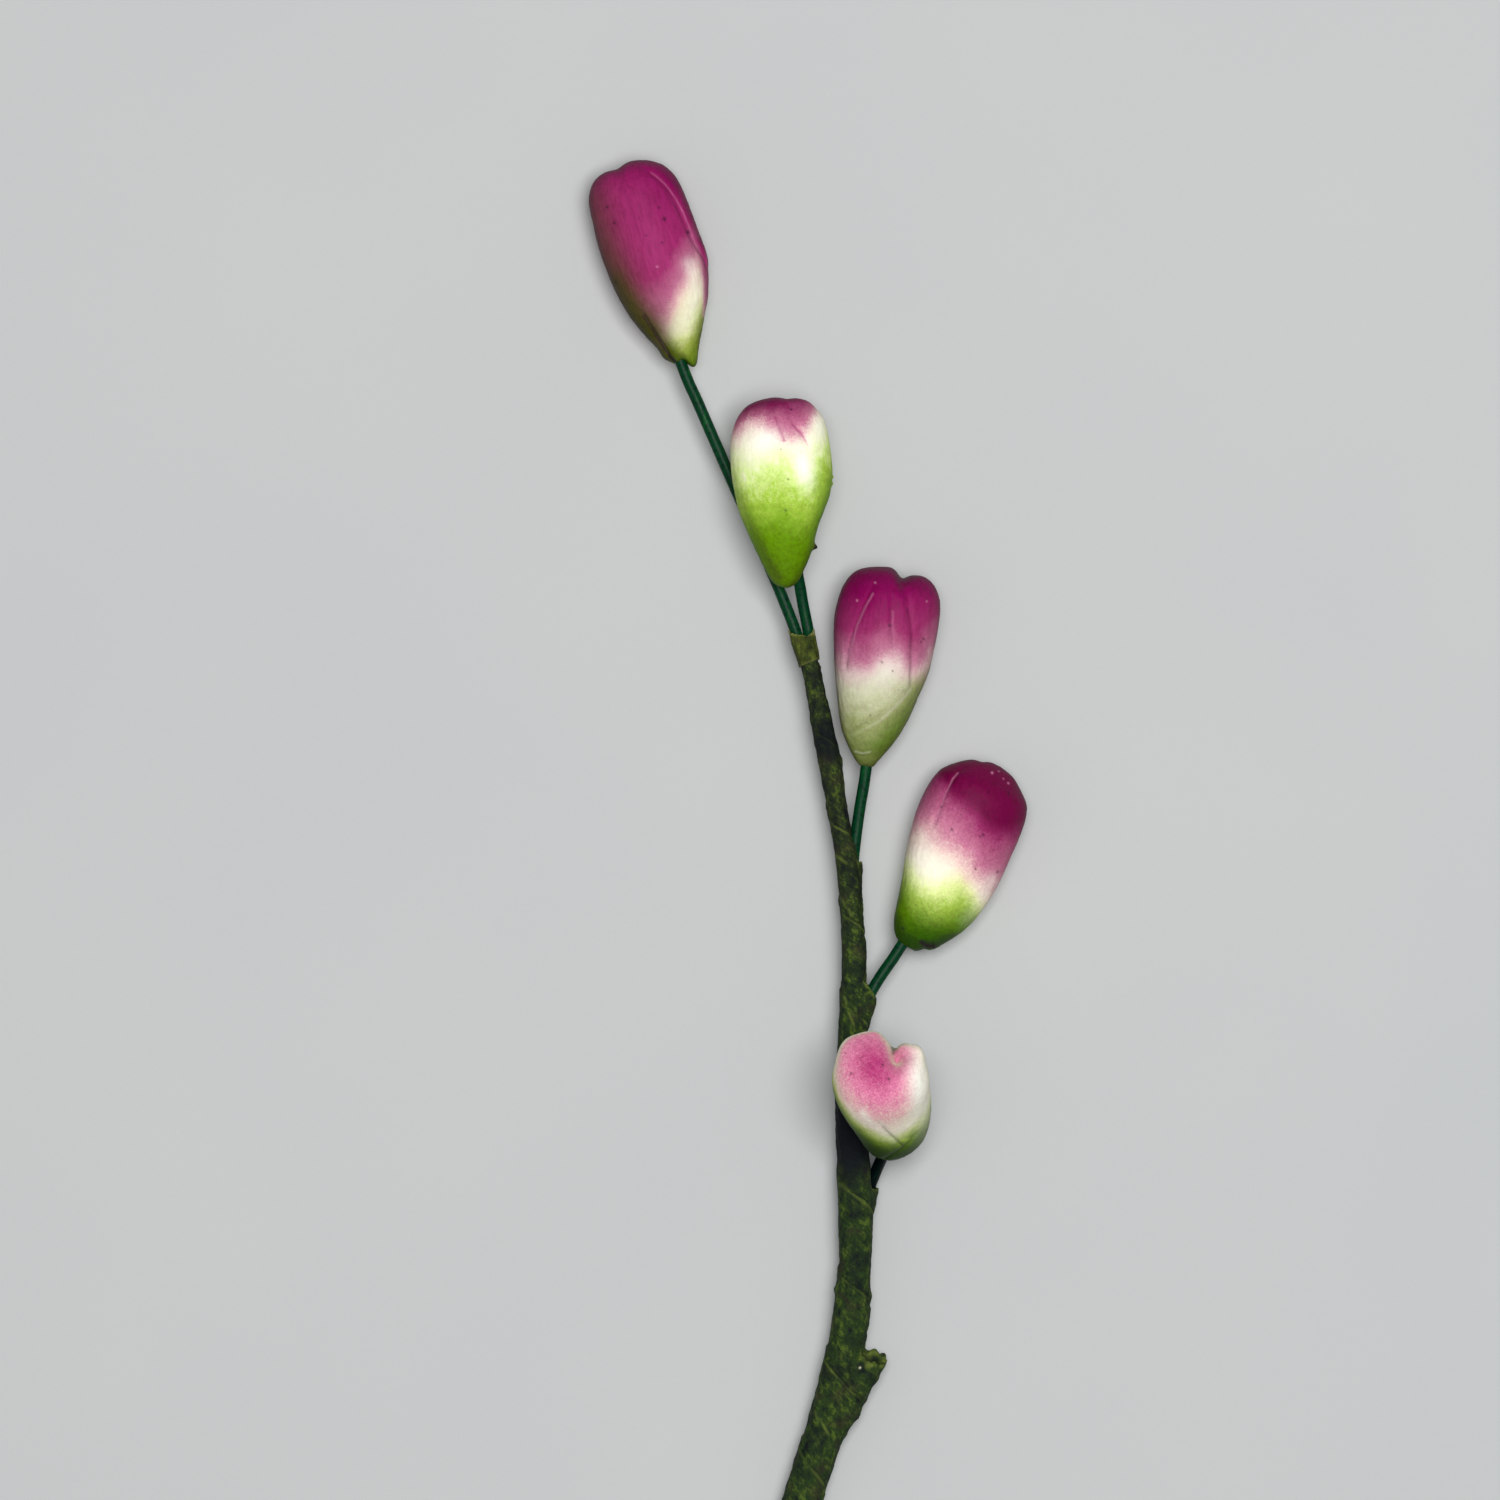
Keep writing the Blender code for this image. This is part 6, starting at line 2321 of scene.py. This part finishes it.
@dataclass(frozen=True)
class ForkCollar:
    """The short lighter band of tape round the top fork, with its torn mouth."""

    sections: Rows = (
        (0.0, 0.14, 1.06, 1.8), (0.35, -0.12, 1.18, 1.6), (0.65, -0.4, 1.28, 1.36), (1.0, -0.68, 1.37, 1.0),
    )
    foot: float = 30.2
    mouth: float = 33.3
    foot_slant: float = 0.42
    wall: float = 0.15
    squared: float = 3.0
    flaps: Rows = ((14.0, 0.45, 20.0), (178.0, 0.3, 14.0), (80.0, -0.25, 20.0))
    sides: int = 120
    rows: int = 34

    def ring(self, turns: np.ndarray, share: np.ndarray, inset: np.ndarray) -> np.ndarray:
        """Finds points of the collar.

        Args:
            turns: Shares of the way round it.
            share: Shares of the way up it.
            inset: How far inside the outside each is.

        Returns:
            One point for each.
        """
        across, wide, deep = SmoothCurve(self.sections).at(share).T
        angle = turns * 2 * math.pi
        side, face = np.cos(angle), np.sin(angle)
        power = 2 / self.squared
        x = across + np.sign(side) * np.abs(side) ** power * (wide - inset)
        foot = self.foot + self.foot_slant * (x - self.sections[0][1])
        top = np.full(len(turns), self.mouth)
        for place, rise, spread in self.flaps:
            away = (turns * 360 - place + 180) % 360 - 180
            top += rise * bell(away, spread)
        top += 0.05 * np.sin(angle * 9) + 0.04 * np.sin(angle * 17 + 1)
        height = foot + (top - foot) * share
        out = SPINE.middle(height)[:, 2] + np.sign(face) * np.abs(face) ** power * (deep - inset)
        return np.stack([x, height, out], axis=1)

    def build(self, tape: bpy.types.Material) -> bpy.types.Object:
        """Makes the collar in place of its CAD node.

        Args:
            tape: Its finish.

        Returns:
            The collar.
        """
        count = 2 * self.rows + 2

        def place(turns: np.ndarray, steps: np.ndarray) -> np.ndarray:
            """Lays the sheet up the outside and down the inside.

            Args:
                turns: Shares of the way round.
                steps: Steps of the way along.

            Returns:
                One point for each.
            """
            outside = steps <= self.rows
            share = np.where(outside, steps / self.rows, 1 - (steps - self.rows - 1) / self.rows)
            share = np.where(steps == count, 0.0, share)
            inset = np.where(outside | (steps == count), 0.0, self.wall)
            return self.ring(turns % 1.0, share, inset)

        piece = Bench.rolled("top_collar_torn", self.sides, count, place)
        places = Bench.points(piece)
        relief = 0.06 * grain(places, (1.4, 0.5, 1.4)) + 0.03 * grain(places, (3.0, 1.5, 3.0))
        Bench.push(piece, relief)
        rim = eased((places[:, 1] - self.mouth + 0.35) / 0.4)
        foot = self.foot + self.foot_slant * (places[:, 0] - self.sections[0][1])
        # A lighter torn top rim, and a painted highlight along the lip just above the foot.
        Bench.store(piece, "edge", np.maximum(0.7 * rim, 0.35 * bell(places[:, 1] - foot - 0.1, 0.15)))
        # Painted shadow under the collar's lower edge.
        Bench.store(piece, "gap", 0.8 * bell(places[:, 1] - foot, 0.12))
        Bench.store(piece, "fleck", np.zeros(len(places)))
        Bench.store(piece, "fresh", np.zeros(len(places)))
        Bench.store(piece, "flow", places)
        Bench.hand_over(piece, "top_collar", "light_tape", tape, 50.0)
        return piece


# Setting


@dataclass(frozen=True)
class Studio:
    """A pale table, soft light from the tip's side, and a camera straight above."""

    table_size: float = 4000.0
    over: Point = (-6.09, 21.1)
    eye_height: float = 1505.0
    lens: float = 342.86
    sensor: float = 36.0
    clip_end: float = 20.0
    key_place: Point = (90.0, 90.0, 1000.0)
    key_size: float = 440.0
    key_power: float = 10.9
    fill_place: Point = (-380.0, -60.0, 760.0)
    fill_size: float = 700.0
    fill_power: float = 0.5
    sky: Point = (0.9, 0.95, 1.0)
    sky_strength: float = 0.18

    def table(self) -> bpy.types.Object:
        """Lays the table top.

        Returns:
            The table top.
        """
        bpy.ops.object.select_all(action="DESELECT")
        bpy.ops.mesh.primitive_plane_add(size=self.table_size * MM)
        top = Bench.newest("table_top")
        top.data.materials.append(PaleTable().made())
        return top

    def panel(self, name: str, place: Point, size: float, power: float) -> bpy.types.Object:
        """Hangs a square soft light that points at the middle of the sprig.

        Args:
            name: The light's name.
            place: Where it hangs, in millimetres.
            size: The length of its sides.
            power: Its power in watts.

        Returns:
            The light.
        """
        data = bpy.data.lights.new(name, "AREA")
        data.size = size * MM
        data.energy = power
        light = bpy.data.objects.new(name, data)
        light.location = Vector(place) * MM
        light.rotation_euler = (-Vector(place)).to_track_quat("-Z", "Y").to_euler()
        bpy.context.scene.collection.objects.link(light)
        return light

    def camera(self) -> bpy.types.Object:
        """Hangs the camera, which looks straight down on the sprig.

        Returns:
            The camera.
        """
        data = bpy.data.cameras.new("camera_above")
        data.lens = self.lens
        data.sensor_width = self.sensor
        data.clip_end = self.clip_end
        camera = bpy.data.objects.new("camera_above", data)
        camera.location = Vector((*self.over, self.eye_height)) * MM
        bpy.context.scene.collection.objects.link(camera)
        bpy.context.scene.camera = camera
        return camera

    def build(self) -> None:
        """Sets the scene."""
        self.table()
        self.panel("key_light", self.key_place, self.key_size, self.key_power)
        self.panel("fill_light", self.fill_place, self.fill_size, self.fill_power)
        world = bpy.data.worlds.new("soft_room")
        world.use_nodes = True
        backdrop = world.node_tree.nodes["Background"]
        backdrop.inputs["Color"].default_value = (*self.sky, 1.0)
        backdrop.inputs["Strength"].default_value = self.sky_strength
        bpy.context.scene.world = world
        bpy.context.scene.view_settings.view_transform = "Standard"
        self.camera()


def main() -> None:
    """Builds the sprig's pieces in order, and then its setting."""
    logging.basicConfig(level=logging.INFO, format="%(name)s: %(message)s")
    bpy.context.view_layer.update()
    coating = WireCoating("green_wire_coating").made()
    wires = {wire.name: wire for wire in WIRES}
    # wire_5 gets a darker copy of the coating: a painted shadow, as bud 5 shades it.
    shaded = WireCoating("painted_shadow_wire_coating", green=(0, 8, 9), lit=(0, 24, 13), dark=(0, 4, 7)).made()
    for wire in WIRES:
        wire.build(shaded if wire.name == "wire_5" else coating)
    for bud in BUDS:
        bud.build()
    StemTape().build(wires, CrepeTape("olive_crepe_tape").made())
    light_tape = CrepeTape(
        "light_crepe_tape", ground=(54, 64, 16), bright=(84, 94, 28), shade=(24, 32, 10),
        fresh=(54, 64, 16), brown=(62, 56, 26), rim=(126, 128, 70),
    )
    ForkCollar().build(light_tape.made())
    Studio().build()


if __name__ == "__main__":
    main()
